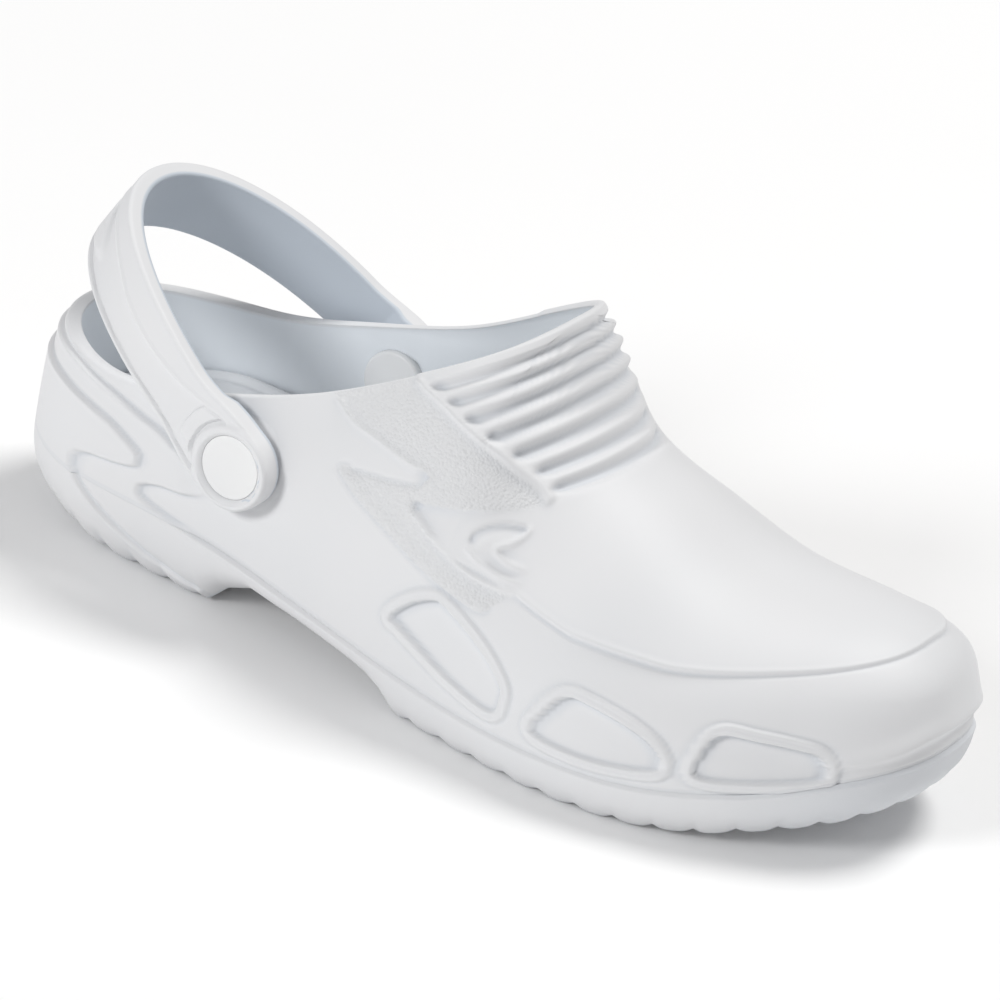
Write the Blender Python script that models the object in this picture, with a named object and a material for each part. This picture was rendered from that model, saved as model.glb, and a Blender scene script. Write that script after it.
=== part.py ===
# Garden clog, right shoe: moulded foam upper on a separate sole, loose insole, heel strap on two push rivets.
# Sizes are in millimetres, measured from the heel end; meshes are written in metres with the origin under the middle.
# X runs from heel to toe, -Y is the outer (lateral) side of the foot, Z is up.
import math

import bmesh
import bpy
import numpy as np

# Main sizes
LENGTH = 280.0
BALL_WIDTH = 104.0
INSTEP_HEIGHT = 105.8
HEEL_HEIGHT = 54.9
HEEL_LIFT = 23.3
THROAT = 0.557
WALL = 4.2
GAP = 0.3
JOINT_GAP = 0.4

# Ends of the plan: where the round of heel and toe starts, and how square each is
HEEL_ROUND = 42.0
HEEL_SQUARE = 2.1
TOE_START = 191.0
TOE_SQUARE_LATERAL = 1.97
TOE_SQUARE_MEDIAL = 2.7
CREST_BACK = 45.0
CREST_FRONT = 200.0

# Plan of the foot: share of length, then lateral half, medial half and middle line as shares of ball width
PLAN = (
    (0.000, 0.369, 0.369, -0.005),
    (0.143, 0.385, 0.385, -0.003),
    (0.286, 0.394, 0.394, 0.005),
    (0.411, 0.423, 0.423, 0.003),
    (0.536, 0.466, 0.439, 0.003),
    (0.679, 0.510, 0.465, 0.008),
    (0.821, 0.524, 0.479, 0.035),
    (1.000, 0.517, 0.486, 0.079),
)
# Joint of upper and sole: share of length, share of heel lift
JOINT = (
    (0.000, 1.000),
    (0.143, 0.901),
    (0.286, 0.781),
    (0.429, 0.554),
    (0.571, 0.403),
    (0.714, 0.429),
    (0.857, 0.674),
    (1.000, 1.124),
)
# Crest of the last: share of length, share of instep height
CREST = (
    (0.000, 0.789),
    (0.143, 0.798),
    (0.286, 0.873),
    (0.411, 0.911),
    (0.557, 1.000),
    (0.593, 0.838),
    (0.629, 0.742),
    (0.700, 0.658),
    (0.786, 0.562),
    (0.840, 0.543),
    (0.893, 0.547),
    (1.000, 0.540),
)
# Squareness of the cross-section: share of length, exponent
SECTION = (
    (0.000, 2.6),
    (0.214, 2.6),
    (0.529, 2.3),
    (0.679, 2.3),
    (0.821, 2.6),
    (1.000, 2.8),
)
# Collar cut seen from the side: share of length, rise from heel height to instep height
COLLAR = (
    (0.000, 0.000),
    (0.084, -0.028),
    (0.184, -0.004),
    (0.279, 0.155),
    (0.379, 0.389),
    (0.479, 0.725),
    (0.557, 1.000),
)
# Underside along the edge: distance from heel, height above the floor
UNDERSIDE = (
    (0.0, 7.0),
    (14.0, 5.0),
    (27.0, 3.0),
    (40.0, 0.5),
    (46.0, 0.0),
    (78.0, 0.0),
    (84.0, 6.5),
    (94.0, 11.0),
    (103.0, 10.0),
    (112.0, 9.4),
    (127.0, 7.3),
    (137.0, 5.2),
    (142.0, 3.0),
    (147.0, 0.5),
    (151.0, 0.0),
    (216.0, 0.0),
    (228.0, 0.7),
    (241.0, 2.5),
    (254.0, 6.0),
    (266.0, 10.0),
    (280.0, 16.0),
)

# Instep ribs: grooves at even steps of the collar cut moved forward
RIB_COUNT = 7
RIB_FIRST = 6.0
RIB_PITCH = 10.6
RIB_RISE = 0.5
RIB_GROOVE = 1.6
# Half width of the ribbed field: step forward from the collar cut, distance from the middle line
RIB_FIELD = (
    (0.0, 30.5),
    (16.0, 34.5),
    (36.0, 36.5),
    (48.0, 36.5),
    (58.0, 34.5),
    (72.0, 30.5),
)

# Raised vamp: distance from heel and height of its edge, lateral then medial
VAMP_RISE = 1.0
VAMP_EDGE_LATERAL = (
    (141.0, 57.4),
    (154.0, 53.0),
    (166.0, 50.6),
    (176.0, 49.3),
    (189.0, 47.0),
    (201.0, 45.2),
    (212.0, 44.1),
    (224.0, 43.8),
    (243.0, 47.5),
    (254.0, 50.3),
    (266.0, 53.5),
    (280.0, 55.9),
)
VAMP_EDGE_MEDIAL = (
    (141.0, 59.0),
    (176.0, 50.0),
    (212.0, 46.0),
    (243.0, 48.5),
    (266.0, 52.5),
    (280.0, 55.9),
)

# Side windows: blind recesses in a raised rim, corners as distance from heel and height
WINDOW_DEPTH = 1.7
WINDOW_RIM = 0.8
WINDOW_RIM_WIDTH = 3.2
WINDOWS = (
    ((143.0, 28.3), (148.0, 34.4), (155.0, 38.6), (160.0, 37.9), (172.0, 32.1), (180.0, 26.2), (181.0, 23.1),
     (180.0, 17.4), (166.0, 19.9), (154.0, 24.0), (146.0, 26.9)),
    ((193.0, 18.0), (195.0, 24.1), (200.0, 30.6), (208.0, 30.5), (219.0, 28.1), (226.0, 24.5), (228.0, 19.2),
     (216.0, 17.2), (204.0, 16.6)),
    ((237.0, 20.5), (237.0, 27.4), (240.0, 32.8), (248.0, 33.1), (257.0, 32.6), (262.0, 31.4), (264.0, 27.3),
     (263.0, 24.6), (250.0, 21.6)),
)

# Zigzag flash on the lateral side, a raised field from the collar down to the vamp edge
FLASH_RISE = 0.6
FLASH = (
    (103.0, 76.0), (108.0, 73.7), (123.0, 71.4), (134.0, 69.5), (142.0, 68.6), (142.0, 65.5), (130.0, 63.1),
    (116.0, 59.9), (119.0, 55.3), (130.0, 49.6), (142.0, 44.9), (154.0, 43.6), (163.0, 43.4), (170.0, 43.0),
    (176.0, 48.8), (166.0, 50.6), (154.0, 53.0), (141.0, 57.4), (141.0, 60.1), (150.0, 61.8), (163.0, 66.6),
    (172.0, 68.3), (173.0, 72.0), (164.0, 79.0), (153.0, 83.3), (140.0, 87.0), (128.0, 89.0),
)

# Toe bumper: height of its ridge at the toe tip, drop towards the sides
BUMPER_RISE = 0.7
BUMPER_HEIGHT = 38.5
BUMPER_DROP = 5.0
BUMPER_START = 258.0
BUMPER_HALF = 6.0
TOE_SWELL = 2.4

# Heel terraces: two steps wrapping the heel, corners as distance from heel and height
TERRACE_RISE = 1.2
HEEL_INSET = 3.4
TERRACE_LOWER = (
    (-9.0, 46.2), (17.0, 45.8), (25.0, 45.3), (34.0, 44.3), (42.0, 42.8), (48.0, 40.6), (54.0, 37.8), (54.5, 35.0),
    (53.0, 33.0), (46.0, 31.4), (38.0, 30.3), (33.0, 28.2), (32.0, 24.6), (36.0, 20.6), (46.0, 15.0), (60.0, 9.5),
    (74.0, 5.5), (79.0, 3.0), (79.0, -9.0), (-9.0, -9.0),
)
TERRACE_UPPER = (
    (-9.0, 53.0), (19.0, 52.5), (26.0, 52.1), (36.0, 50.8), (43.0, 49.6), (52.0, 47.4), (59.0, 46.0), (68.0, 42.0),
    (78.0, 36.0), (75.0, 33.1), (69.0, 31.2), (63.0, 30.7), (57.0, 28.9), (56.0, 25.3), (60.0, 22.8), (69.0, 21.2),
    (82.0, 18.1), (82.0, -9.0), (-9.0, -9.0),
)

# Sole edge and tread
EDGE_BULGE = 0.7
EDGE_INSET = 7.0
EDGE_SPREAD = 4.4
EDGE_FALL = 2.6
LUG_PITCH = 8.8
LUG_DEPTH = 2.2
LUG_INNER = 0.62
CHANNEL_INNER = 0.52
CHANNEL_DEPTH = 1.6

# Insole
INSOLE_THICKNESS = 4.0
INSOLE_DISH = 1.6

# Heel strap: swing from the horizontal at the rivets and its change at the back, reach, half span, squareness of the loop;
# width at the rivets and what the back adds, thickness, and the boss under each round end
STRAP_SWING = 32.6
STRAP_BEND = -3.8
STRAP_REACH = 80.8
STRAP_SPAN = 44.7
STRAP_SQUARE = 2.05
STRAP_WIDTH = 18.0
STRAP_WIDEN = 5.4
STRAP_THICK = 4.8
STRAP_BOSS = 1.8
STRAP_END = 12.2
STRAP_MIDDLE = 0.4

# Rivets
RIVET_X = 86.2
RIVET_Z = 48.4
RIVET_CAP_RADIUS = 8.9
RIVET_CAP_THICK = 2.3
RIVET_SINK = 3.2
RIVET_SHAFT_RADIUS = 3.5
RIVET_BACK_RADIUS = 9.6
RIVET_BACK_THICK = 2.6
SEAT_RADIUS = 9.5
SEAT_GAP = 0.5
SEAT_SLOPE = 0.4

# Mesh fineness before small faces are merged: rows up the wall, columns along one side
WALL_ROWS = 80
HEEL_COLUMNS = 40
SIDE_COLUMNS = 60
RIB_BACK = 128.0
RIB_COLUMNS = 44
TOE_COLUMNS = 84
THROAT_COLUMNS = 34
SOLE_COLUMNS = 311
UPPER_TRIANGLES = 5800
SOLE_TRIANGLES = 3200
INSOLE_TRIANGLES = 500
STRAP_TRIANGLES = 760


def spline(points):
    # Smooth curve through (place, value) rows, straight at both ends
    place = np.array([row[0] for row in points], float)
    value = np.array([row[1] for row in points], float)
    count = len(place)
    step = np.diff(place)
    matrix = np.eye(count)
    right = np.zeros(count)
    for i in range(1, count - 1):
        matrix[i, i - 1] = step[i - 1]
        matrix[i, i] = 2.0 * (step[i - 1] + step[i])
        matrix[i, i + 1] = step[i]
        right[i] = 6.0 * ((value[i + 1] - value[i]) / step[i] - (value[i] - value[i - 1]) / step[i - 1])
    bend = np.linalg.solve(matrix, right)

    def curve(where):
        where = np.asarray(where, float)
        i = np.clip(np.searchsorted(place, where) - 1, 0, count - 2)
        h = step[i]
        a = (place[i + 1] - where) / h
        b = (where - place[i]) / h
        cubic = ((a ** 3 - a) * bend[i] + (b ** 3 - b) * bend[i + 1]) * h * h / 6.0
        return a * value[i] + b * value[i + 1] + cubic

    return curve


def ramp(low, high, value):
    # Soft step from 0 to 1
    t = np.clip((value - low) / (high - low), 0.0, 1.0)
    return t * t * (3.0 - 2.0 * t)


def along(table, column, scale):
    return spline([(row[0] * LENGTH, row[column] * scale) for row in table])


half_lateral = along(PLAN, 1, BALL_WIDTH)
half_medial = along(PLAN, 2, BALL_WIDTH)
middle = along(PLAN, 3, BALL_WIDTH)
joint_height = along(JOINT, 1, HEEL_LIFT)
crest_height = along(CREST, 1, INSTEP_HEIGHT)
squareness = along(SECTION, 1, 1.0)
collar_rise = along(COLLAR, 1, INSTEP_HEIGHT - HEEL_HEIGHT)
THROAT_X = THROAT * LENGTH


def collar_height(x):
    return HEEL_HEIGHT + collar_rise(np.minimum(x, THROAT_X))


def underside(x):
    return np.interp(x, [row[0] for row in UNDERSIDE], [row[1] for row in UNDERSIDE])


def end_round(x, toe_square):
    # Half width runs to nothing at heel and toe along part of a superellipse
    heel = np.clip((HEEL_ROUND - x) / HEEL_ROUND, 0.0, 1.0)
    toe = np.clip((x - TOE_START) / (LENGTH - TOE_START), 0.0, 1.0)
    heel_part = (1.0 - heel ** HEEL_SQUARE) ** (1.0 / HEEL_SQUARE)
    return heel_part * (1.0 - toe ** toe_square) ** (1.0 / toe_square)


def outline(x, side):
    # Plan outline at the joint; side -1 is lateral, +1 medial
    lateral = half_lateral(x) * end_round(x, TOE_SQUARE_LATERAL)
    medial = half_medial(x) * end_round(x, TOE_SQUARE_MEDIAL)
    half = np.where(side < 0, lateral, medial)
    return np.stack([x, middle(x) + side * half], -1)


def crest_x(x):
    # Sections fan round the heel and the toe, so the crest is shorter than the outline
    front = LENGTH - CREST_FRONT
    ahead = CREST_FRONT + front * 2 / math.pi * np.sin(math.pi / 2 * np.clip((x - CREST_FRONT) / front, 0, 1))
    behind = CREST_BACK - CREST_BACK * 2 / math.pi * np.sin(math.pi / 2 * np.clip((CREST_BACK - x) / CREST_BACK, 0, 1))
    return np.where(x > CREST_FRONT, ahead, np.where(x < CREST_BACK, behind, x))


def last_point(x, side, angle):
    # Point of the last: section through outline station x, angle 0 at the joint and a quarter turn at the crest
    edge = outline(x, side)
    top_x = crest_x(x)
    top = np.stack([top_x, middle(top_x)], -1)
    low = joint_height(x)
    power = 2.0 / squareness(x)
    across = np.clip(np.cos(angle), 0.0, 1.0) ** power
    up = np.clip(np.sin(angle), 0.0, 1.0) ** power
    plan = top + (edge - top) * across[..., None]
    height = low + (crest_height(top_x) - low) * up
    return np.concatenate([plan, height[..., None]], -1)


def top_angle(x):
    # Angle at which a section meets the collar, or the crest ahead of the throat
    low = joint_height(x)
    share = np.clip((collar_height(x) - low) / (crest_height(crest_x(x)) - low), 0.0, 1.0)
    cut = np.arcsin(share ** (squareness(x) / 2.0))
    return np.where(x < THROAT_X - 1e-6, cut, math.pi / 2)


def stations():
    # Outline stations of one side from heel end to toe tip, closer at the ribs and at the throat
    heel_turn = np.linspace(0.0, math.pi / 2, HEEL_COLUMNS, endpoint=False)
    ease = np.linspace(0.0, 1.0, THROAT_COLUMNS, endpoint=False)
    toe_turn = np.linspace(0.0, math.pi / 2, TOE_COLUMNS)
    parts = (
        HEEL_ROUND * (1.0 - np.cos(heel_turn)),
        np.linspace(HEEL_ROUND, RIB_BACK, SIDE_COLUMNS, endpoint=False),
        RIB_BACK + (THROAT_X - RIB_BACK) * (1.0 - (1.0 - ease) ** 2),
        np.linspace(THROAT_X, TOE_START, RIB_COLUMNS, endpoint=False),
        TOE_START + (LENGTH - TOE_START) * np.sin(toe_turn),
    )
    return np.concatenate(parts)


def even_sections(x, side, rows):
    # Section points evenly spaced from the joint to the top
    fine = 160
    share = np.linspace(0.0, 1.0, fine)
    angle = top_angle(x)[:, None] * share[None, :]
    points = last_point(np.repeat(x[:, None], fine, 1), side, angle)
    run = np.linalg.norm(np.diff(points, axis=1), axis=2).cumsum(1)
    run = np.concatenate([np.zeros((len(x), 1)), run], 1)
    result = np.empty((len(x), rows, 3))
    for i in range(len(x)):
        wanted = np.linspace(0.0, run[i, -1], rows)
        for axis in range(3):
            result[i, :, axis] = np.interp(wanted, run[i], points[i, :, axis])
    return result


def inside_distance(points, x, z):
    # Distance to a closed outline, positive inside
    corners = np.array(points, float)
    nearest = np.full(x.shape, 1e9)
    inside = np.zeros(x.shape, bool)
    for a, b in zip(corners, np.roll(corners, -1, 0)):
        edge = b - a
        t = np.clip(((x - a[0]) * edge[0] + (z - a[1]) * edge[1]) / (edge @ edge), 0.0, 1.0)
        nearest = np.minimum(nearest, np.hypot(x - a[0] - t * edge[0], z - a[1] - t * edge[1]))
        crossing = (a[1] > z) != (b[1] > z)
        slope = np.where(crossing, (z - a[1]) / (b[1] - a[1] + 1e-12), 0.0)
        inside ^= crossing & (x < a[0] + slope * edge[0])
    return np.where(inside, nearest, -nearest)


def heel_inset(x):
    # The wall stands back round the heel so that its outer step ends on the last
    return HEEL_INSET * ramp(75.0, 15.0, x)


def toe_swell(x):
    return TOE_SWELL * ramp(252.0, 278.0, x)


def terraces(x, z):
    # Two steps round the heel, fading under the strap's end
    lower = ramp(-0.9, 0.9, inside_distance(TERRACE_LOWER, x, z))
    upper = ramp(-0.9, 0.9, inside_distance(TERRACE_UPPER, x, z))
    clear = ramp(15.0, 24.0, np.hypot(x - RIVET_X, z - RIVET_Z))
    return TERRACE_RISE * (lower + upper * clear) - heel_inset(x)


def relief(x, side, point):
    # Height of the moulded pattern over the plain last; x is the outline station
    z = point[..., 2]
    y = point[..., 1] - middle(point[..., 0])
    lateral = side < 0
    total = terraces(x, z)
    # Ribs follow the collar cut moved forward step by step
    cut_x = np.linspace(55.0, THROAT_X, 300)
    shift = point[..., 0] - np.interp(z, collar_height(cut_x), cut_x)
    half = np.interp(shift, [row[0] for row in RIB_FIELD], [row[1] for row in RIB_FIELD])
    end = RIB_FIRST + RIB_PITCH * (RIB_COUNT - 1)
    field = ramp(0.0, 2.5, half - np.abs(y)) * ramp(-2.0, 0.0, shift) * ramp(end + 5.5, end + 3.5, shift)
    field = field * (point[..., 0] > 110.0)
    wave = np.abs(np.sin(math.pi * (shift - RIB_FIRST) / RIB_PITCH)) ** 0.7
    ribs = field * (RIB_RISE - RIB_GROOVE * (1.0 - wave))
    # Vamp layer ahead of the flash and under the ribs
    edge_lateral = np.interp(x, [row[0] for row in VAMP_EDGE_LATERAL], [row[1] for row in VAMP_EDGE_LATERAL])
    edge_medial = np.interp(x, [row[0] for row in VAMP_EDGE_MEDIAL], [row[1] for row in VAMP_EDGE_MEDIAL])
    edge = np.where(lateral, edge_lateral, edge_medial)
    start = np.where(lateral, ramp(138.0, 142.0, x), ramp(140.0, 185.0, x))
    vamp = VAMP_RISE * ramp(-1.0, 1.0, z - edge) * start
    flash = FLASH_RISE * ramp(-1.0, 1.0, inside_distance(FLASH, x, z)) * lateral
    total = total + np.maximum(vamp * (1.0 - field), flash * (1.0 - field)) + ribs
    # Windows with a raised rim
    for corners in WINDOWS:
        depth = inside_distance(corners, x, z)
        rim = ramp(-WINDOW_RIM_WIDTH, -WINDOW_RIM_WIDTH + 1.7, depth) * ramp(0.6, -1.1, depth)
        total = total + lateral * (WINDOW_RIM * rim - WINDOW_DEPTH * ramp(-0.6, 1.4, depth))
    # Bumper round the toe
    tip = ramp(BUMPER_START, LENGTH, x)
    ridge = BUMPER_HEIGHT - BUMPER_DROP * (1.0 - tip)
    total = total + BUMPER_RISE * tip * np.exp(-((z - ridge) / BUMPER_HALF) ** 2 * 2.0)
    return total + toe_swell(x) * ramp(76.0, 60.0, z)


def seat(points, side, target):
    # Flat seat for a rivet on one side of the wall, with the wall round it held back behind the strap's end
    near = np.hypot(points[..., 0] - RIVET_X, points[..., 2] - RIVET_Z)
    out = (points[..., 1] - STRAP_MIDDLE) * side
    share = ramp(SEAT_RADIUS + 3.0, SEAT_RADIUS, near) * (out > 0)
    limit = target + SEAT_SLOPE * np.maximum(near - STRAP_END - 1.3, 0.0)
    out = np.minimum(out * (1.0 - share) + target * share, limit)
    points[..., 1] = STRAP_MIDDLE + side * out


def grid_normals(points):
    # Outward normals of a section grid, shared where the two sides meet
    down = np.gradient(points, axis=0)
    up = np.gradient(points, axis=1)
    normal = np.cross(down, up)
    return normal / np.maximum(np.linalg.norm(normal, axis=2, keepdims=True), 1e-9)


class Solid:
    # Vertices welded by position and faces gathered for one closed body
    def __init__(self):
        self.places = {}
        self.points = []
        self.faces = []

    def vertex(self, point):
        key = tuple(np.round(point, 4))
        if key not in self.places:
            self.places[key] = len(self.points)
            self.points.append(tuple(point))
        return self.places[key]

    def face(self, corners):
        ring = []
        for corner in corners:
            if corner not in ring:
                ring.append(corner)
        if len(ring) > 2:
            self.faces.append(ring)

    def grid(self, points, close=False):
        rows = [[self.vertex(point) for point in line] for line in points]
        pairs = list(zip(rows, rows[1:]))
        if close:
            pairs.append((rows[-1], rows[0]))
        for a, b in pairs:
            for i in range(len(a) - 1):
                self.face((a[i], b[i], b[i + 1], a[i + 1]))
        return rows


def round_columns(x):
    # Stations and sides of all columns round the shoe, heel end first along the lateral side
    place = np.concatenate([x, x[-2:0:-1]])
    side = np.concatenate([-np.ones(len(x)), np.ones(len(x) - 2)])
    return place, side


def make_upper():
    x, side = round_columns(stations())
    half = len(x) // 2
    sections = np.empty((len(x), WALL_ROWS, 3))
    for sign in (-1, 1):
        pick = side == sign
        sections[pick] = even_sections(x[pick], sign, WALL_ROWS)
    ring = np.concatenate([sections[-2:], sections, sections[:2]])
    normal = grid_normals(ring)[2:-2]
    # Both sides of the crest share one direction
    mirror = (len(x) - np.arange(len(x))) % len(x)
    crest = x >= THROAT_X - 1e-6
    shared = normal[crest, -1] + normal[mirror[crest], -1]
    normal[crest, -1] = shared / np.linalg.norm(shared, axis=1, keepdims=True)
    station = np.repeat(x[:, None], WALL_ROWS, 1)
    hand = np.repeat(side[:, None], WALL_ROWS, 1)
    height = relief(station, hand, sections)
    height[crest, -1] = (height[crest, -1] + height[mirror[crest], -1]) / 2.0
    height[half] = (height[half] + relief(station[half], -hand[half], sections[half])) / 2.0
    outer = sections + normal * height[..., None]
    inner = sections - normal * (WALL + heel_inset(station))[..., None]
    inner[:, 0, 2] = joint_height(inner[:, 0, 0])
    for grid in (outer, inner):
        grid[:, 0, 2] += JOINT_GAP
        grid[:, 1:, 2] = np.maximum(grid[:, 1:, 2], grid[:, :1, 2] + 0.2)
    wall_face = STRAP_SPAN - STRAP_THICK / 2.0 - STRAP_BOSS - SEAT_GAP
    for sign in (-1, 1):
        seat(outer, sign, wall_face)
        seat(inner, sign, wall_face - WALL - 0.4)
    solid = Solid()
    solid.grid(outer, True)
    solid.grid(inner, True)
    # Rounded collar lip, square to the rim and to the wall
    medial = [i for i in range(len(x)) if x[i] < THROAT_X + 1e-6 and side[i] > 0]
    lateral = [i for i in range(len(x)) if x[i] < THROAT_X + 1e-6 and side[i] < 0]
    order = np.array(medial + lateral)
    rim_outer = outer[order, -1]
    rim_inner = inner[order, -1]
    centre = (rim_outer + rim_inner) / 2.0
    half_wall = (rim_outer - rim_inner) / 2.0
    along_rim = np.roll(centre, -3, 0) - np.roll(centre, 3, 0)
    rise = np.cross(half_wall, along_rim)
    rise = rise / np.linalg.norm(rise, axis=1, keepdims=True)
    rise = rise * np.linalg.norm(half_wall, axis=1, keepdims=True)
    rise = rise * np.sign(rise[:, 2:3])
    turn = np.linspace(0.0, math.pi, 9)
    lip = centre[:, None] + half_wall[:, None] * np.cos(turn)[:, None] + rise[:, None] * np.sin(turn)[:, None]
    lip[:, 0] = rim_outer
    lip[:, -1] = rim_inner
    solid.grid(lip, True)
    # Band under the wall that stands over the sole
    solid.grid(np.stack([outer[:, 0], inner[:, 0]], 1), True)
    return solid


def sole_sections(x, side):
    # Rows of the sole from the middle of its top, over the edge and under to the middle of the tread
    edge = outline(x, side)
    back = np.roll(edge, 1, 0)
    ahead = np.roll(edge, -1, 0)
    run = ahead - back
    run = run / np.linalg.norm(run, axis=1, keepdims=True)
    outward = np.stack([run[:, 1], -run[:, 0]], 1)
    length = np.concatenate([[0.0], np.linalg.norm(np.diff(edge, axis=0), axis=1).cumsum()])
    total = length[-1] + np.linalg.norm(edge[0] - edge[-1])
    turns = round(total / LUG_PITCH)
    wave = np.cos(2.0 * math.pi * turns * length / total)
    groove = ramp(0.25, 0.75, -wave)
    top_x = crest_x(x)
    crest = np.stack([top_x, middle(top_x)], 1)
    low = underside(x)
    high = joint_height(x)
    rows = []
    rim = edge + outward * (terraces(x, high) + toe_swell(x))[:, None]
    for share in (0.0, 0.5, 1.0):
        plan = crest + (rim - crest) * share
        rows.append(np.column_stack([plan, high if share == 1.0 else joint_height(plan[:, 0])]))
    sides = np.linspace(0.0, 1.0, 13)[1:]
    for share in sides:
        height = high - (high - low) * share
        inset = EDGE_BULGE + EDGE_INSET - EDGE_SPREAD * ramp(134.0, 150.0, x)
        swell = EDGE_BULGE * ramp(0.0, 0.16, share) - inset * share ** EDGE_FALL + toe_swell(x)
        steps = terraces(x, height) + heel_inset(x)
        swell = swell + steps * (1.0 - share ** 6) - heel_inset(x) - 0.9 * groove * ramp(0.55, 0.9, share)
        rows.append(np.column_stack([edge + outward * swell[:, None], height]))
    rim = rows[-1][:, :2]
    height_lift = ramp(0.985, 0.93, 0.0) * groove
    rows[-1][:, 2] += LUG_DEPTH * height_lift
    tread = (0.97, LUG_INNER + 0.03, LUG_INNER, CHANNEL_INNER + 0.03, CHANNEL_INNER, 0.0)
    for share in tread:
        plan = crest + (rim - crest) * share
        height = underside(plan[:, 0])
        if share > LUG_INNER:
            height = height + LUG_DEPTH * groove
        elif share > CHANNEL_INNER:
            height = height + CHANNEL_DEPTH * ramp(100.0, 150.0, plan[:, 0])
        rows.append(np.column_stack([plan, height]))
    return np.stack(rows, 1)


def make_sole():
    # Stations spaced evenly along the lateral outline and mirrored, so that each lug has its own columns
    fine = stations()
    edge = outline(fine, -1.0)
    length = np.concatenate([[0.0], np.linalg.norm(np.diff(edge, axis=0), axis=1).cumsum()])
    x = np.interp(np.linspace(0.0, length[-1], SOLE_COLUMNS), length, fine)
    place, side = round_columns(x)
    solid = Solid()
    solid.grid(sole_sections(place, side), True)
    return solid


def make_insole():
    x, side = round_columns(stations())
    x = x[::2]
    side = side[::2]
    edge = outline(x, side)
    run = np.roll(edge, -1, 0) - np.roll(edge, 1, 0)
    run = run / np.linalg.norm(run, axis=1, keepdims=True)
    edge = edge - np.stack([run[:, 1], -run[:, 0]], 1) * (WALL + heel_inset(x) + GAP + 0.3)[:, None]
    top_x = crest_x(x)
    crest = np.stack([top_x, middle(top_x)], 1)
    rows = []
    for share, lift in ((0.0, 0.0), (1.0, 0.0), (1.0, 1.0), (0.92, 1.0), (0.7, 0.35), (0.4, 0.05), (0.0, 0.0)):
        plan = crest + (edge - crest) * share
        height = joint_height(plan[:, 0]) + JOINT_GAP
        if len(rows) >= 2:
            height = height + INSOLE_THICKNESS - INSOLE_DISH * (1.0 - lift)
        rows.append(np.column_stack([plan, height]))
    solid = Solid()
    solid.grid(np.stack(rows, 1), True)
    return solid


def strap_frames():
    # Middle line of the strap from one round end to the other, with its width and outward directions
    turn = np.linspace(-0.5, 0.5, 97) * math.pi
    bulge = 2.0 / STRAP_SQUARE
    reach = STRAP_REACH * np.clip(np.cos(turn), 0.0, 1.0) ** bulge
    across = STRAP_SPAN * np.sign(turn) * np.abs(np.sin(turn)) ** bulge
    end = STRAP_END * -np.cos(np.linspace(0.06, 0.5, 9)[:-1] * math.pi)
    reach = np.concatenate([end, reach, end[::-1]])
    across = np.concatenate([np.full(8, -STRAP_SPAN), across, np.full(8, STRAP_SPAN)])
    swing = np.radians(STRAP_SWING + STRAP_BEND * np.clip(reach / STRAP_REACH, 0.0, 1.0))
    point = np.column_stack([RIVET_X - reach * np.cos(swing), STRAP_MIDDLE + across, RIVET_Z + reach * np.sin(swing)])
    wide = np.column_stack([np.sin(swing), 0 * swing, np.cos(swing)])
    run = np.gradient(point, axis=0)
    run = run / np.linalg.norm(run, axis=1, keepdims=True)
    out = np.cross(wide, run)
    out = out / np.linalg.norm(out, axis=1, keepdims=True)
    taper = np.sqrt(np.clip(1.0 - (np.minimum(reach, 0.0) / STRAP_END) ** 2, 0.0, 1.0))
    head = ramp(26.0, 6.0, reach)
    half = (STRAP_WIDTH + STRAP_WIDEN * np.clip(reach / STRAP_REACH, 0.0, 1.0)) / 2.0
    half = (half + (STRAP_END - half) * head) * taper
    boss = STRAP_BOSS * ramp(16.5, 12.0, reach)
    return point, wide, out, half, head, boss


def make_strap():
    # Rounded band with a shallow panel along its outer face
    point, wide, out, half, head, boss = strap_frames()
    thick = STRAP_THICK / 2.0
    ring = ((-1.0, -0.55), (-0.9, -1.0), (0.9, -1.0), (1.0, -0.55), (1.0, 0.55), (0.9, 1.0),
            (0.62, 1.0), (0.54, 0.72), (-0.62, 0.72), (-0.7, 1.0), (-0.9, 1.0), (-1.0, 0.55))
    rows = []
    for w, t in ring:
        level = np.where(t == 0.72, 0.72 + 0.28 * ramp(0.0, 0.5, head), t)
        rise = thick * level - boss * (t < 0.0)
        rows.append(point + wide * (half * w)[:, None] + out * rise[:, None])
    rows.append(rows[0])
    band = np.stack(rows, 1)
    solid = Solid()
    lines = solid.grid(band)
    solid.face(lines[0])
    solid.face(lines[-1][::-1])
    return solid


def turned(profile, sides, side, base):
    # Round part about the rivet axis; profile rows are (radius, distance outward from base)
    solid = Solid()
    angle = np.linspace(0.0, 2.0 * math.pi, sides, endpoint=False)
    columns = []
    for a in angle:
        columns.append([(RIVET_X + r * math.cos(a), STRAP_MIDDLE + side * (base + h), RIVET_Z + r * math.sin(a))
                        for r, h in profile])
    solid.grid(np.array(columns), True)
    return solid


def mesh_object(name, solid, shift, tint):
    mesh = bpy.data.meshes.new(name)
    points = (np.array(solid.points) + shift) * 0.001
    mesh.from_pydata([tuple(point) for point in points], [], solid.faces)
    work = bmesh.new()
    work.from_mesh(mesh)
    bmesh.ops.recalc_face_normals(work, faces=work.faces)
    work.to_mesh(mesh)
    work.free()
    result = bpy.data.objects.new(name, mesh)
    bpy.context.scene.collection.objects.link(result)
    material = bpy.data.materials.new(name)
    material.use_nodes = True
    shader = material.node_tree.nodes["Principled BSDF"]
    shader.inputs["Base Color"].default_value = (*tint, 1.0)
    shader.inputs["Roughness"].default_value = 0.45
    mesh.materials.append(material)
    return result


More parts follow.
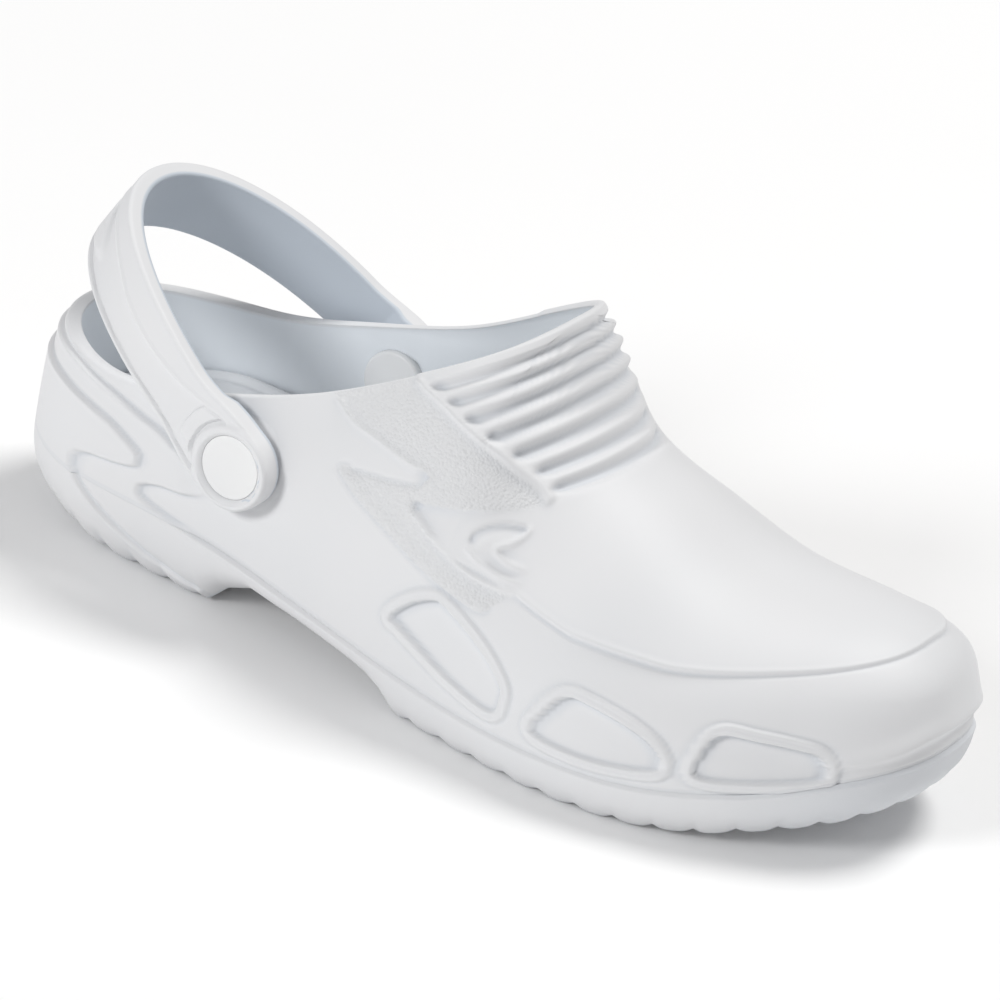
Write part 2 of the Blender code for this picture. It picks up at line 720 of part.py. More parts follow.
def lighten(target, triangles):
    # Merge small faces on the smooth stretches down to a set count
    count = sum(len(face.vertices) - 2 for face in target.data.polygons)
    if count > triangles:
        step = target.modifiers.new("lighten", "DECIMATE")
        step.ratio = triangles / count
        step.use_collapse_triangulate = True


def cut(target, tool):
    step = target.modifiers.new("cut " + tool.name, "BOOLEAN")
    step.operation = "DIFFERENCE"
    step.solver = "EXACT"
    step.object = tool


def build():
    for old in list(bpy.data.objects):
        bpy.data.objects.remove(old, do_unlink=True)
    white = (0.84, 0.85, 0.87)
    upper = make_upper()
    sole = make_sole()
    insole = make_insole()
    strap = make_strap()
    corners = np.concatenate([np.array(upper.points), np.array(sole.points), np.array(strap.points)])
    low = corners.min(0)
    high = corners.max(0)
    shift = np.array([-(low[0] + high[0]) / 2.0, -(low[1] + high[1]) / 2.0, -low[2]])
    upper_object = mesh_object("upper", upper, shift, white)
    lighten(upper_object, UPPER_TRIANGLES)
    sole_object = mesh_object("sole", sole, shift, white)
    lighten(sole_object, SOLE_TRIANGLES)
    insole_object = mesh_object("insole", insole, shift, white)
    lighten(insole_object, INSOLE_TRIANGLES)
    strap_object = mesh_object("heel_strap", strap, shift, white)
    lighten(strap_object, STRAP_TRIANGLES)
    # Rivets: a cap sunk in the strap with its shaft, and a disc inside the wall that takes the shaft's end
    face = STRAP_SPAN + STRAP_THICK / 2.0
    inner_face = STRAP_SPAN - STRAP_THICK / 2.0 - STRAP_BOSS - SEAT_GAP - WALL - 0.4
    shaft = RIVET_SHAFT_RADIUS
    cap_low = -RIVET_SINK + GAP
    cap_high = cap_low + RIVET_CAP_THICK
    shaft_end = inner_face - RIVET_BACK_THICK + 0.8 - face
    back_top = -GAP
    back_low = back_top - RIVET_BACK_THICK
    bore = shaft + GAP
    cap = ((0.0, shaft_end), (shaft, shaft_end), (shaft, cap_low), (RIVET_CAP_RADIUS, cap_low),
           (RIVET_CAP_RADIUS, cap_high - 0.8), (RIVET_CAP_RADIUS - 0.8, cap_high), (0.0, cap_high))
    disc = ((0.0, back_low), (RIVET_BACK_RADIUS - 0.8, back_low), (RIVET_BACK_RADIUS, back_low + 0.8),
            (RIVET_BACK_RADIUS, back_top), (bore, back_top), (bore, back_low + 0.5), (0.0, back_low + 0.5))
    for side, word in ((-1, "lateral"), (1, "medial")):
        mesh_object("rivet_cap_" + word, turned(cap, 24, side, face), shift, white)
        mesh_object("rivet_back_" + word, turned(disc, 24, side, inner_face), shift, white)
        pocket_profile = ((0.0, -RIVET_SINK), (RIVET_CAP_RADIUS + GAP, -RIVET_SINK), (RIVET_CAP_RADIUS + GAP, 9.0),
                          (0.0, 9.0))
        hole_profile = ((0.0, -20.0), (bore, -20.0), (bore, 11.0), (0.0, 11.0))
        tools = []
        for kind, profile in (("pocket", pocket_profile), ("hole", hole_profile)):
            tool = mesh_object(kind + "_" + word, turned(profile, 24, side, face), shift, white)
            tool.hide_render = True
            tool.hide_set(True)
            tool.display_type = "WIRE"
            tools.append(tool)
        cut(strap_object, tools[0])
        cut(strap_object, tools[1])
        cut(upper_object, tools[1])


build()
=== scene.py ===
import math
import bmesh
import bpy
import numpy as np
from mathutils import Matrix, Vector


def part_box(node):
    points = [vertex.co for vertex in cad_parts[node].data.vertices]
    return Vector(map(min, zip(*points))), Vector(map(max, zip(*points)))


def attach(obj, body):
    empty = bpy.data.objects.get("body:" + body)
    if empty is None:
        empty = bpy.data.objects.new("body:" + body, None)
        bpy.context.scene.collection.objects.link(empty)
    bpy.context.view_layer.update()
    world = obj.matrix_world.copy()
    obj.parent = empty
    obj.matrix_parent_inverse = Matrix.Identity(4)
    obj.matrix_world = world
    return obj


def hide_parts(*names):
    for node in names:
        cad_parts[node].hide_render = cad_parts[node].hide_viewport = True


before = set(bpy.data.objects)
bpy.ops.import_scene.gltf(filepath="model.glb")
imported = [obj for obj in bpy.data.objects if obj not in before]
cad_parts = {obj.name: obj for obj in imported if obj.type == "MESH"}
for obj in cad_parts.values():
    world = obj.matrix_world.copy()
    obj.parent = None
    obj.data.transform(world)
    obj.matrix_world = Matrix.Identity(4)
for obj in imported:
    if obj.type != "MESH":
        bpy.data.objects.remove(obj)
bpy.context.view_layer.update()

# Garden clog, right shoe. Shapes are worked out in millimetres from the heel end, -Y outward,
# then set on the frame.

mm = 0.001
weldStep = 0.03  # points closer than this, in mm, become one
tiny = 1e-6

# small curves and soft steps

def spline(points):
    place, value = np.array(points, float).T
    count, step = len(place), np.diff(place)
    matrix, right = np.eye(count), np.zeros(count)
    for i in range(1, count - 1):
        matrix[i, i - 1:i + 2] = step[i - 1], 2 * (step[i - 1] + step[i]), step[i]
        right[i] = 6 * ((value[i + 1] - value[i]) / step[i] - (value[i] - value[i - 1]) / step[i - 1])
    bend = np.linalg.solve(matrix, right)

    def curve(where):
        where = np.asarray(where, float)
        i = np.clip(np.searchsorted(place, where) - 1, 0, count - 2)
        a, b = (place[i + 1] - where) / step[i], (where - place[i]) / step[i]
        cubic = ((a ** 3 - a) * bend[i] + (b ** 3 - b) * bend[i + 1]) * step[i] ** 2 / 6
        return a * value[i] + b * value[i + 1] + cubic

    return curve


def ramp(low, high, value):
    t = np.clip((value - low) / (high - low), 0, 1)
    return t * t * (3 - 2 * t)


def hump(distance, width):
    return np.exp(-(distance / width) ** 2)


def raised(shape, distance):
    # a ridge, or a groove where the height is under zero
    height, place, width = shape
    return height * hump(distance - place, width)


def blend(below, above, share):
    return below * (1 - share) + above * share


def through(points, closed=False, fine=6):
    # smooth line through listed corners
    p = np.array(points, float)
    if closed:
        p = np.concatenate([p[-1:], p, p[:2]])
    else:
        p = np.concatenate([2 * p[:1] - p[1:2], p, 2 * p[-1:] - p[-2:-1]])
    t = np.linspace(0, 1, fine, endpoint=False)[:, None]
    parts = []
    for a, b, c, d in zip(p, p[1:], p[2:], p[3:]):
        square, cube = a - 2.5 * b + 2 * c - d / 2, 1.5 * (b - c) + (d - a) / 2
        parts.append(b + t * (c - a) / 2 + t ** 2 * square + t ** 3 * cube)
    if not closed:
        parts.append(p[-2:-1])
    return np.concatenate(parts)


def along(points, x):
    return np.interp(x, *np.array(points, float).T)


def runLength(points):
    return np.concatenate([[0], np.linalg.norm(np.diff(points, axis=0), axis=1).cumsum()])


def unit(vectors):
    return vectors / np.maximum(np.linalg.norm(vectors, axis=-1, keepdims=True), 1e-9)


def lineDistance(points, x, z):
    nearest = np.full(x.shape, 1e9)
    for a, b in zip(points, points[1:]):
        edge = b - a
        t = np.clip(((x - a[0]) * edge[0] + (z - a[1]) * edge[1]) / (edge @ edge + 1e-12), 0, 1)
        nearest = np.minimum(nearest, np.hypot(x - a[0] - t * edge[0], z - a[1] - t * edge[1]))
    return nearest


def insideDistance(points, x, z):
    # over zero inside the loop
    loop = np.concatenate([points, points[:1]])
    inside = np.zeros(x.shape, bool)
    for a, b in zip(loop, loop[1:]):
        crossing = (a[1] > z) != (b[1] > z)
        slope = np.where(crossing, (z - a[1]) / (b[1] - a[1] + 1e-12), 0)
        inside ^= crossing & (x < a[0] + slope * (b[0] - a[0]))
    away = lineDistance(loop, x, z)
    return np.where(inside, away, -away)


# the last that upper, sole and insole share; tables run over its length

last = {
    "length": 280.0, "ball": 104.0, "instep": 105.8, "heelTop": 54.9, "heelLift": 23.3, "throat": 0.557,
    "heelRound": 42.0, "heelSquare": 2.1, "toeStart": 191.0, "toeLateral": 1.97, "toeMedial": 2.7,
    "crestBack": 45.0, "crestFront": 200.0, "cutStart": 55.0,
    "lateral": [(0, .369), (.143, .385), (.286, .394), (.411, .423), (.536, .466), (.679, .510),
                (.821, .524), (1, .517)],
    "medial": [(0, .369), (.143, .385), (.286, .394), (.411, .423), (.536, .439), (.679, .465),
               (.821, .479), (1, .486)],
    "middle": [(0, -.005), (.143, -.003), (.286, .005), (.411, .003), (.536, .003), (.679, .008),
               (.821, .035), (1, .079)],
    "joint": [(0, 1), (.143, .953), (.286, .910), (.357, .803), (.429, .691), (.5, .584), (.571, .519),
              (.643, .494), (.714, .511), (.786, .545), (.857, .678), (.911, .845), (.950, 1.034),
              (.982, 1.189), (1, 1.288)],
    "floor": [(0, 1), (.143, .901), (.286, .781), (.429, .554), (.571, .403), (.714, .429), (.857, .674),
              (1, 1.124)],
    "crest": [(0, .789), (.143, .798), (.286, .873), (.411, .911), (.557, 1), (.593, .838), (.629, .742),
              (.700, .658), (.786, .562), (.840, .543), (.893, .547), (1, .540)],
    "square": [(0, 2.6), (.214, 2.6), (.529, 2.3), (.679, 2.3), (.821, 2.6), (1, 2.8)],
    "collar": [(0, 0), (.084, -.028), (.184, -.004), (.279, .155), (.379, .389), (.479, .725), (.557, 1)],
    # height of the underside, by millimetres from the heel
    "under": [(0, 7), (14, 5), (27, 3), (40, .5), (46, 0), (78, 0), (84, 6.5), (94, 11), (103, 10),
              (112, 9.4), (127, 7.3), (137, 5.2), (142, 3), (147, .5), (151, 0), (216, 0), (228, .7),
              (241, 2.5), (254, 6), (266, 10), (280, 16)],
    "heelInset": 3.4, "insetRun": (75, 15),
    "toeSwell": 2.4, "swellRun": (252, 278), "swellHeight": (57.3, 46),
}
length, throatX = last["length"], last["throat"] * last["length"]


def scaled(key, size):
    return spline([(a * length, b * size) for a, b in last[key]])


halfLateral, halfMedial = scaled("lateral", last["ball"]), scaled("medial", last["ball"])
middle, joint = scaled("middle", last["ball"]), scaled("joint", last["heelLift"])
insideFloor = scaled("floor", last["heelLift"])
crestHeight, square = scaled("crest", last["instep"]), scaled("square", 1)
collarRise = scaled("collar", last["instep"] - last["heelTop"])


def collarHeight(x):
    return last["heelTop"] + collarRise(np.minimum(x, throatX))


def under(x):
    return along(last["under"], x)


def endRound(x, toe):
    heelPart = np.clip(1 - x / last["heelRound"], 0, 1) ** last["heelSquare"]
    front = np.clip((x - last["toeStart"]) / (length - last["toeStart"]), 0, 1) ** toe
    return (1 - heelPart) ** (1 / last["heelSquare"]) * (1 - front) ** (1 / toe)


def outline(x, side):
    lateral = halfLateral(x) * endRound(x, last["toeLateral"])
    medial = halfMedial(x) * endRound(x, last["toeMedial"])
    return np.stack([x, middle(x) + side * np.where(side < 0, lateral, medial)], -1)


def crestX(x):
    # sections fan round the heel and the toe
    front, back = last["crestFront"], last["crestBack"]
    toeShare, heelShare = np.clip((x - front) / (length - front), 0, 1), np.clip(1 - x / back, 0, 1)
    ahead = front + (length - front) * 2 / math.pi * np.sin(math.pi / 2 * toeShare)
    behind = back - back * 2 / math.pi * np.sin(math.pi / 2 * heelShare)
    return np.where(x > front, ahead, np.where(x < back, behind, x))


def crestPlan(x):
    top = crestX(x)
    return np.stack([top, middle(top)], -1)


def lastPoint(x, side, angle):
    edge, top, low, power = outline(x, side), crestPlan(x), joint(x), 2 / square(x)
    across, up = np.clip(np.cos(angle), 0, 1) ** power, np.clip(np.sin(angle), 0, 1) ** power
    plan = top + (edge - top) * across[..., None]
    height = low + (crestHeight(top[..., 0]) - low) * up
    return np.concatenate([plan, height[..., None]], -1)


def topAngle(x):
    low = joint(x)
    share = np.clip((collarHeight(x) - low) / (crestHeight(crestX(x)) - low), 0, 1)
    return np.where(x < throatX - tiny, np.arcsin(share ** (square(x) / 2)), math.pi / 2)


def heelInset(x):
    # the wall stands back round the heel, so its outer layer ends on the last
    return last["heelInset"] * ramp(*last["insetRun"], x)


def toeSwell(x):
    return last["toeSwell"] * ramp(*last["swellRun"], x)


def roundColumns(lateral, medial):
    # heel end first, along the lateral side to the toe and back along the medial side
    inner = medial[-2:0:-1]
    return np.concatenate([lateral, inner]), np.concatenate([-np.ones(len(lateral)), np.ones(len(inner))])


def outward(edge):
    run = unit(np.roll(edge, -1, 0) - np.roll(edge, 1, 0))
    return np.stack([run[:, 1], -run[:, 0]], 1)


# place on the frame, found from the rivet caps

rivet = {
    "x": 86.2, "z": 48.4, "strapMiddle": 0.4, "sink": 3.2, "shaft": 3.5, "gap": 0.3, "wallExtra": 0.4,
    "capRadius": 8.95, "capThick": 2.2, "capRound": 0.25, "crown": 0.1,
    "backRadius": 9.6, "backThick": 2.6, "backRound": 0.9, "backCrown": 0.12,
    "seatRadius": 9.5, "seatBlend": 3.0, "seatGap": 0.5, "seatSlope": 0.4, "seatClear": 1.3,
    "shaftDepth": 0.8, "shaftRound": 0.5, "capEdge": 0.3, "capFlat": 0.9, "backFlat": 0.84, "boreFloor": 0.6,
    "crownSteps": 8, "backCrownEnd": 0.95, "cutDepth": 20,
    "pocket": 9.02, "flare": [(0, -0.85), (0.12, -0.62), (0.4, -0.3), (0.8, 0.06), (1.45, 0.42), (1.45, 9)],
}
capLow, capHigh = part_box("rivet_cap_lateral")
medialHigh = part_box("rivet_cap_medial")[1]
rivetX, middleY = (capLow[0] + capHigh[0]) / 2 / mm, (capLow[1] + medialHigh[1]) / 2 / mm
toFrame = np.array([rivetX - rivet["x"], middleY - rivet["strapMiddle"], 0])
print("frame set", toFrame.round(3))

# meshes from grids of points

def makePiece(name, grids, node, finish):
    # grids are (points, closed round, {attribute: values}); equal points are welded into one skin
    points, quads, marks, start = [], [], {}, 0
    for grid, closed, extra in grids:
        n, m = grid.shape[:2]
        index = start + np.arange(n * m).reshape(n, m)
        if closed:
            index = np.concatenate([index, index[:1]])
        corners = index[:-1, :-1], index[1:, :-1], index[1:, 1:], index[:-1, 1:]
        quads.append(np.stack(corners, -1).reshape(-1, 4))
        points.append(grid.reshape(-1, 3))
        for key in ("grain", "paintedShade", "inside"):
            marks.setdefault(key, []).append(np.broadcast_to(extra.get(key, 0.0), (n, m)).reshape(-1))
        start += n * m
    points = np.concatenate(points)
    first, place = np.unique(np.round(points / weldStep), axis=0, return_index=True, return_inverse=True)[1:]
    faces = []
    for ring in place.reshape(-1)[np.concatenate(quads)].tolist():
        ring = list(dict.fromkeys(ring))
        if len(ring) > 2:
            faces.append(ring)
    mesh = bpy.data.meshes.new(name)
    mesh.from_pydata(((points[first] + toFrame) * mm).tolist(), [], faces)
    work = bmesh.new()
    work.from_mesh(mesh)
    loose = [v for v in work.verts if not v.link_faces]
    bmesh.ops.delete(work, geom=loose, context="VERTS")
    bmesh.ops.recalc_face_normals(work, faces=work.faces)
    work.to_mesh(mesh)
    work.free()
    for key, parts in marks.items():
        values = np.concatenate(parts)[first]
        if values.any() and len(values) == len(mesh.vertices):
            mesh.attributes.new(key, "FLOAT", "POINT").data.foreach_set("value", values.astype(np.float32))
    mesh.shade_smooth()
    piece = bpy.data.objects.new(name, mesh)
    bpy.context.scene.collection.objects.link(piece)
    mesh.materials.append(finish)
    if node:
        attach(piece, "root")
        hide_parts(node)
    print(name, len(mesh.vertices), "vertices")
    return piece


# finishes

class Wire:
    # a socket; sums on it add Math nodes
    def __init__(self, finish, socket):
        self.finish, self.socket = finish, socket

    def sum(self, operation, first, second):
        return self.finish.add("Math", {"operation": operation}, {0: first, 1: second})

    def __add__(self, other):
        return self.sum("ADD", self, other)

    def __radd__(self, other):
        return self.sum("ADD", other, self)

    def __sub__(self, other):
        return self.sum("SUBTRACT", self, other)

    def __mul__(self, other):
        return self.sum("MULTIPLY", self, other)

    def __rmul__(self, other):
        return self.sum("MULTIPLY", other, self)


class Finish:
    def __init__(self, name):
        self.material = bpy.data.materials.new(name)
        self.material.use_nodes = True
        self.nodes, self.links = self.material.node_tree.nodes, self.material.node_tree.links
        self.shader = self.nodes["Principled BSDF"]

    def put(self, socket, value):
        if isinstance(value, Wire):
            self.links.new(value.socket, socket)
        else:
            socket.default_value = value

    def add(self, kind, settings, sockets, out=0):
        node = self.nodes.new("ShaderNode" + kind)
        for key, value in settings.items():
            setattr(node, key, value)
        for key, value in sockets.items():
            self.put(node.inputs[key], value)
        return Wire(self, node.outputs[out])

    def noise(self, where, scale, detail=1.0):
        sockets = {"Vector": where, "Scale": scale, "Detail": detail, "Roughness": 0.5}
        return self.add("TexNoise", {}, sockets, "Fac")

    def mark(self, name):
        return self.add("Attribute", {"attribute_name": name}, {}, "Fac")

    def mix(self, share, first, second):
        return self.add("Mix", {"data_type": "RGBA"}, {0: share, 6: first, 7: second}, 2)

    def set(self, **values):
        for key, value in values.items():
            self.put(self.shader.inputs[key.replace("_", " ")], value)


foam = {
    # the darkest tone on the next line is painted shade, laid into hollows, the joint with the sole, the
    # rivet recesses and the sole's toe end
    "white": (0.782, 0.78, 0.788, 1), "shade": (0.745, 0.755, 0.77, 1), "paintedShadeTone": (0.66, 0.68, 0.71, 1),
    # the inside tone is painted light: a lighter, bluer copy of the white for the upper's inner faces
    "grained": (0.725, 0.73, 0.74, 1), "inside": (0.84, 0.875, 0.91, 1),
    # the strap's inside tone is painted shade: a darker, bluer copy of the white for the strap's inner face
    "strapInsideShade": (0.58, 0.63, 0.69, 1), "footbed": (0.80, 0.82, 0.845, 1), "rivet": (0.92, 0.915, 0.90, 1),
    "rough": 0.52, "soleRough": 0.55, "strapRough": 0.5, "rivetRough": 0.36, "roughSpread": 0.12,
    "ior": 1.46, "gloss": 0.42, "footbedFine": 1.6, "rivetFine": 0.8,
    "cloudScale": 26.0, "peelScale": 330.0, "speckScale": 1900.0, "peelShare": 0.7, "speckShare": 0.3,
    "skin": 0.00003, "hollowGain": 1.3,
    "grainScale": 1200.0, "wrinkleScale": 700.0, "wrinkleShare": 0.5,
    "grain": 0.00024, "grainTone": 0.8, "grainRough": 0.12,
}


def foamFinish(name, white, rough, grained=False, fine=1.0, inside=foam["inside"]):
    f = Finish(name)
    where = f.add("TexCoord", {}, {}, "Object")
    cloud = f.noise(where, foam["cloudScale"])  # slow unevenness of the moulded colour
    peel = f.noise(where, foam["peelScale"] * fine)  # orange peel of the skin
    speck = f.noise(where, foam["speckScale"] * fine)  # fine satin
    tone = f.mix(cloud, white, foam["shade"])
    height = (peel * foam["peelShare"] + speck * foam["speckShare"]) * foam["skin"]
    rough = rough - 0.5 * foam["roughSpread"] + foam["roughSpread"] * speck
    if grained:
        sockets = {"Vector": where, "Scale": foam["grainScale"]}
        cells = f.add("TexVoronoi", {"feature": "F1"}, sockets, "Distance")
        wrinkle = f.noise(where, foam["wrinkleScale"])
        mask = f.mark("grain")
        height = height + mask * (wrinkle * foam["wrinkleShare"] - cells) * foam["grain"]
        tone = f.mix(mask * foam["grainTone"], tone, foam["grained"])
        # painted shade: darker where the surface lies below its neighbours and wherever a piece marks shade
        tone = f.mix(f.mark("paintedShade"), tone, foam["paintedShadeTone"])
        # painted light and shade on the inner faces: the inside tone is laid where a piece marks its inner
        # skin
        tone = f.mix(f.mark("inside"), tone, inside)
        rough = rough + mask * foam["grainRough"]
    normal = f.add("Bump", {}, {"Strength": 1.0, "Distance": 1.0, "Height": height}, "Normal")
    f.set(Base_Color=tone, Roughness=rough, Normal=normal, IOR=foam["ior"], Specular_IOR_Level=foam["gloss"])
    return f.material


upperFinish = foamFinish("upper foam", foam["white"], foam["rough"], True)
soleFinish = foamFinish("sole foam", foam["white"], foam["soleRough"], True)
strapFinish = foamFinish("strap foam", foam["white"], foam["strapRough"], True, inside=foam["strapInsideShade"])
insoleFinish = foamFinish("insole foam", foam["footbed"], foam["rough"], True, foam["footbedFine"])
rivetFinish = foamFinish("rivet plastic", foam["rivet"], foam["rivetRough"], False, foam["rivetFine"])
print("finishes made")

# relief of the upper; lines are (from the heel, up) and ridges (height, place, width)

vamp = {
    "rise": 0.85, "edge": 0.45, "start": (138, 143), "medialStart": (140, 185), "toeSoft": (215, 258),
    "lineStart": (175, 182), "medialLineStart": (150, 185),
    "ridge": (0.34, 0.8, 0.7), "groove": (-0.38, -0.62, 0.5),
    "toeLine": 0.5, "softShare": 0.6, "leanLeast": 0.12,
    "lateral": [(141, 57.4), (154, 53), (166, 50.6), (176, 48.8), (182, 47.5), (188, 46.2), (195, 45.1),
                (201, 44.9), (212, 44.6), (222, 44.5), (232, 45.9), (241, 47.7), (250, 49.6), (260, 51.5),
                (270, 53.3), (280, 55)],
    "medial": [(141, 59), (176, 50), (212, 46), (243, 48.3), (260, 51), (275, 53.6), (280, 55)],
}
ribs = {
    "grooves": [6.6, 15.0, 25.2, 36.3, 48.8, 60.6, 71.5], "top": 0.7, "floor": -1.45, "back": 110.0,
    "fade": (8.5, 4.0), "pocketEdge": (0.3, 2.6), "pocketRound": 1.3, "collarBand": (1.0, 3.6),
    "start": (-3, 0), "sideEdge": (-0.6, 0.4),
    "sideBack": [(128.9, 92)], "sideFront": [(173.6, 70.4), (178, 68), (215, 60), (215, 140), (120, 140)],
}
windows = {
    "depth": 1.9, "shallow": 0.4, "rim": 0.5, "rimWidth": 3.2, "outerRidge": (0.2, 0.8, 0.5),
    "innerRidge": (0.34, -0.7, 0.55), "groove": (-0.22, -0.45, 0.45),
    "rimStart": (-0.2, 0.6), "rimEnd": (0.25, -0.35), "floorEdge": (-0.15, 0.45),
    "corners": [
        [(143, 28.3), (148, 34.4), (155, 38.6), (160, 37.9), (172, 32.1), (180, 26.2), (181.5, 22.5),
         (179.5, 17.6), (166, 19.9), (154, 24), (146, 26.9)],
        [(193, 18), (195, 24.1), (200, 30.6), (208, 30.5), (219, 28.1), (226, 24.5), (227.5, 19.6),
         (216, 17.2), (204, 16.6)],
        [(237, 20.5), (237, 27.4), (240, 32.8), (248, 33.1), (257, 32.6), (262, 31.4), (264, 27.3),
         (262.5, 24.6), (250, 21.6)],
    ],
}
flash = {
    "panel": 0.75, "fieldEdge": 0.55, "stripEdge": 0.5,
    "panelBack": 0.35, "panelRun": (150, 172), "collarRun": (0, 4), "leftEdgeRun": (1, 6),
    "stripLow": 0.1, "stripRise": 0.5, "stripRun": (5, 0.8), "grooveRun": (5, 2), "hookEdge": (-0.5, 0.4),
    "scoop": 2.0, "scoopRun": (177, 143), "scoopEdge": (-0.5, 1.0), "scoopReach": 12.0,
    "pipingRun": (-0.5, 3), "pipingClear": (0.5, 1.4), "lineClear": (0.3, 1.2),
    "ridge": 0.9, "ridgeEnd": (179, 173), "piping": (1.1, 0, 0.85), "wedgeDip": (-0.75, 0, 1.7),
    "stripGroove": (-0.45, -0.7, 0.5), "hookDip": (-1.0, 0, 1.9),
    "dimple": (141.9, 60.2), "dimpleDip": (-1.0, 0, 1.4),
    "ridges": {"leftEdge": (0.7, 0, 0.75), "innerLine": (1.1, 0, 0.8), "secondLine": (1, 0, 0.75),
               "hookInner": (1, 0, 0.75)},
    "fieldFront": [(141.6, 63.6), (141.6, 61), (150, 62.8), (158.1, 65), (165, 66.5), (170.1, 67.9),
                   (173.6, 70)],
    "fieldBack": [(120, 90), (112, 92), (100, 78.5)],
    "stripTip": [(116, 59.6)], "stripFront": [(172.4, 44.4)],
    "stripBack": [(142.3, 58.5), (141.8, 62), (141.6, 65.6)],
    "lines": {
        "leftEdge": [(103, 76.4), (108.3, 73.7), (115.4, 71), (125.3, 70.4), (136.9, 69.4), (142, 69.3),
                     (144, 68.4), (142.9, 66.4)],
        "wedge": [(116, 59.8), (127.3, 62.3), (135.6, 64), (141.1, 65.6)],
        "outerEdge": [(116, 59.4), (118, 57), (124.6, 53.8), (134.2, 50.5), (144, 46.9), (152.5, 44.1),
                      (162.5, 41.9), (169, 41.4)],
        "innerLine": [(143.5, 57.8), (149.3, 54.7), (155.6, 52), (162.3, 49.8), (166.4, 49.1),
                      (171.5, 48.7), (176, 48.6)],
        "piping": [(120, 89.6), (128.9, 88.6), (134.1, 87.6), (141.3, 86.4), (150.8, 83.2), (158.4, 80),
                   (163.7, 76.6), (169.9, 72.9), (173.6, 70.2)],
        "secondLine": [(160.9, 55.4), (163.8, 53.7), (166.7, 52.7), (171.4, 51.6), (177.7, 51.6)],
        "hookOuter": [(160.2, 57.4), (160.7, 59.4), (162.2, 61.2), (164.2, 62.6), (166.2, 63.4),
                      (168.7, 63.8), (172, 63.9)],
        "hookInner": [(173.1, 63.1), (172.3, 61.3), (170.5, 59.5), (168.5, 58.4), (167.6, 57.2),
                      (169.5, 55.9), (172.7, 55), (177.5, 54.8)],
    },
}
# loops that share the flash's lines
edges = flash["lines"]
fieldLoop = through(edges["leftEdge"][1:] + flash["fieldFront"]
                    + edges["piping"][-2:0:-1] + flash["fieldBack"], True)
stripLoop = through(edges["wedge"][-2:0:-1] + flash["stripTip"]
                    + edges["outerEdge"][1:] + flash["stripFront"]
                    + edges["innerLine"][:0:-1] + flash["stripBack"], True)
ribSide = np.array(ribs["sideBack"] + edges["piping"][1:-1] + ribs["sideFront"], float)

bead = {
    "rise": 1.35, "above": 3.4, "below": 1.9, "recess": (-0.4, -3.6, 1.8),
    "start": (260, 267), "tip": (268, 280), "tipShare": 0.2,
    "line": [(262, 29.2), (264.5, 29.9), (268, 30.8), (271, 31.9), (274, 33.3), (276.3, 34.8), (278.2, 36.4),
             (280, 37.5)],
}
heel = {
    "rise": 1.3, "edge": (-0.15, 0.95), "lip": (0.12, 1.2, 0.7), "crease": (-0.4, -0.4, 0.42),
    "forward": 0.3, "forwardRun": (86, 140), "rivetClear": (15, 24), "jointStart": 84, "jointPoints": 60,
    "past": [(300, 30), (300, -9), (-9, -9)],  # corners outside the shoe that close the loops
    "lower": [(-9, 46.2), (17, 45.8), (25, 45.3), (34, 44.3), (42, 42.8), (48, 40.6), (54, 37.8), (54.5, 35),
              (53, 33), (46, 31.4), (38, 30.3), (33, 28.2), (32, 24.6), (36, 20.6), (46, 15), (60, 9.5),
              (74, 5.5), (79, 3), (80, -9)],
    "upper": [(-9, 53), (19, 52.5), (26, 52.1), (36, 50.8), (43, 49.6), (52, 47.4), (59, 46), (68, 42),
              (78, 36), (75, 33.1), (69, 31.2), (63, 30.7), (57, 28.9), (55.6, 26.6), (58.5, 24.8),
              (66, 23.2), (75, 21.8)],
}
jointX = np.linspace(heel["jointStart"], length, heel["jointPoints"])
jointLine = np.column_stack([jointX, joint(jointX)])
heelLower = np.concatenate([through(heel["lower"]), heel["past"][-1:]])
heelUpper = np.concatenate([through(heel["upper"]), jointLine, heel["past"]])


def heelSteps(x, z):
    # two layers that wrap the heel, each with a crease at its edge; the upper one runs on as the sole's edge
    clear = ramp(*heel["rivetClear"], np.hypot(x - rivet["x"], z - rivet["z"]))
    clear = clear * (1 - heel["forward"] * ramp(*heel["forwardRun"], x))
    total = 0
    for loop, share in ((heelLower, 1.0), (heelUpper, clear)):
        d = insideDistance(loop, x, z)
        step = heel["rise"] * ramp(*heel["edge"], d) + raised(heel["lip"], d) + raised(heel["crease"], d)
        total = total + share * step
    return total - heelInset(x)


def aheadOfCollar(point):
    cut = np.linspace(last["cutStart"], throatX, 300)
    return point[..., 0] - np.interp(point[..., 2], collarHeight(cut), cut)


def ribWave(point):
    # grooves lie at set steps ahead of the collar cut and end in round pockets on both sides
    shift = aheadOfCollar(point)
    side = insideDistance(ribSide, point[..., 0], point[..., 2])
    grooves = ribs["grooves"]
    steps = [2 * grooves[0] - grooves[1]] + grooves + [2 * grooves[-1] - grooves[-2]]
    turn = np.interp(shift, steps, np.arange(-1, len(grooves) + 1))
    wave = np.abs(np.sin(math.pi * turn)) ** 2
    wave = np.where((turn < -0.5) | (turn > len(grooves) - 0.5), 1, wave)
    fadeEnd, fadeStart = (grooves[-1] + run for run in ribs["fade"])
    inField = (point[..., 0] > ribs["back"]) * ramp(*ribs["start"], shift) * ramp(fadeEnd, fadeStart, shift)
    pocket = inField * ramp(*ribs["pocketEdge"], side - ribs["pocketRound"] * wave)
    return inField * ramp(*ribs["sideEdge"], side), pocket * ramp(*ribs["collarBand"], shift), wave


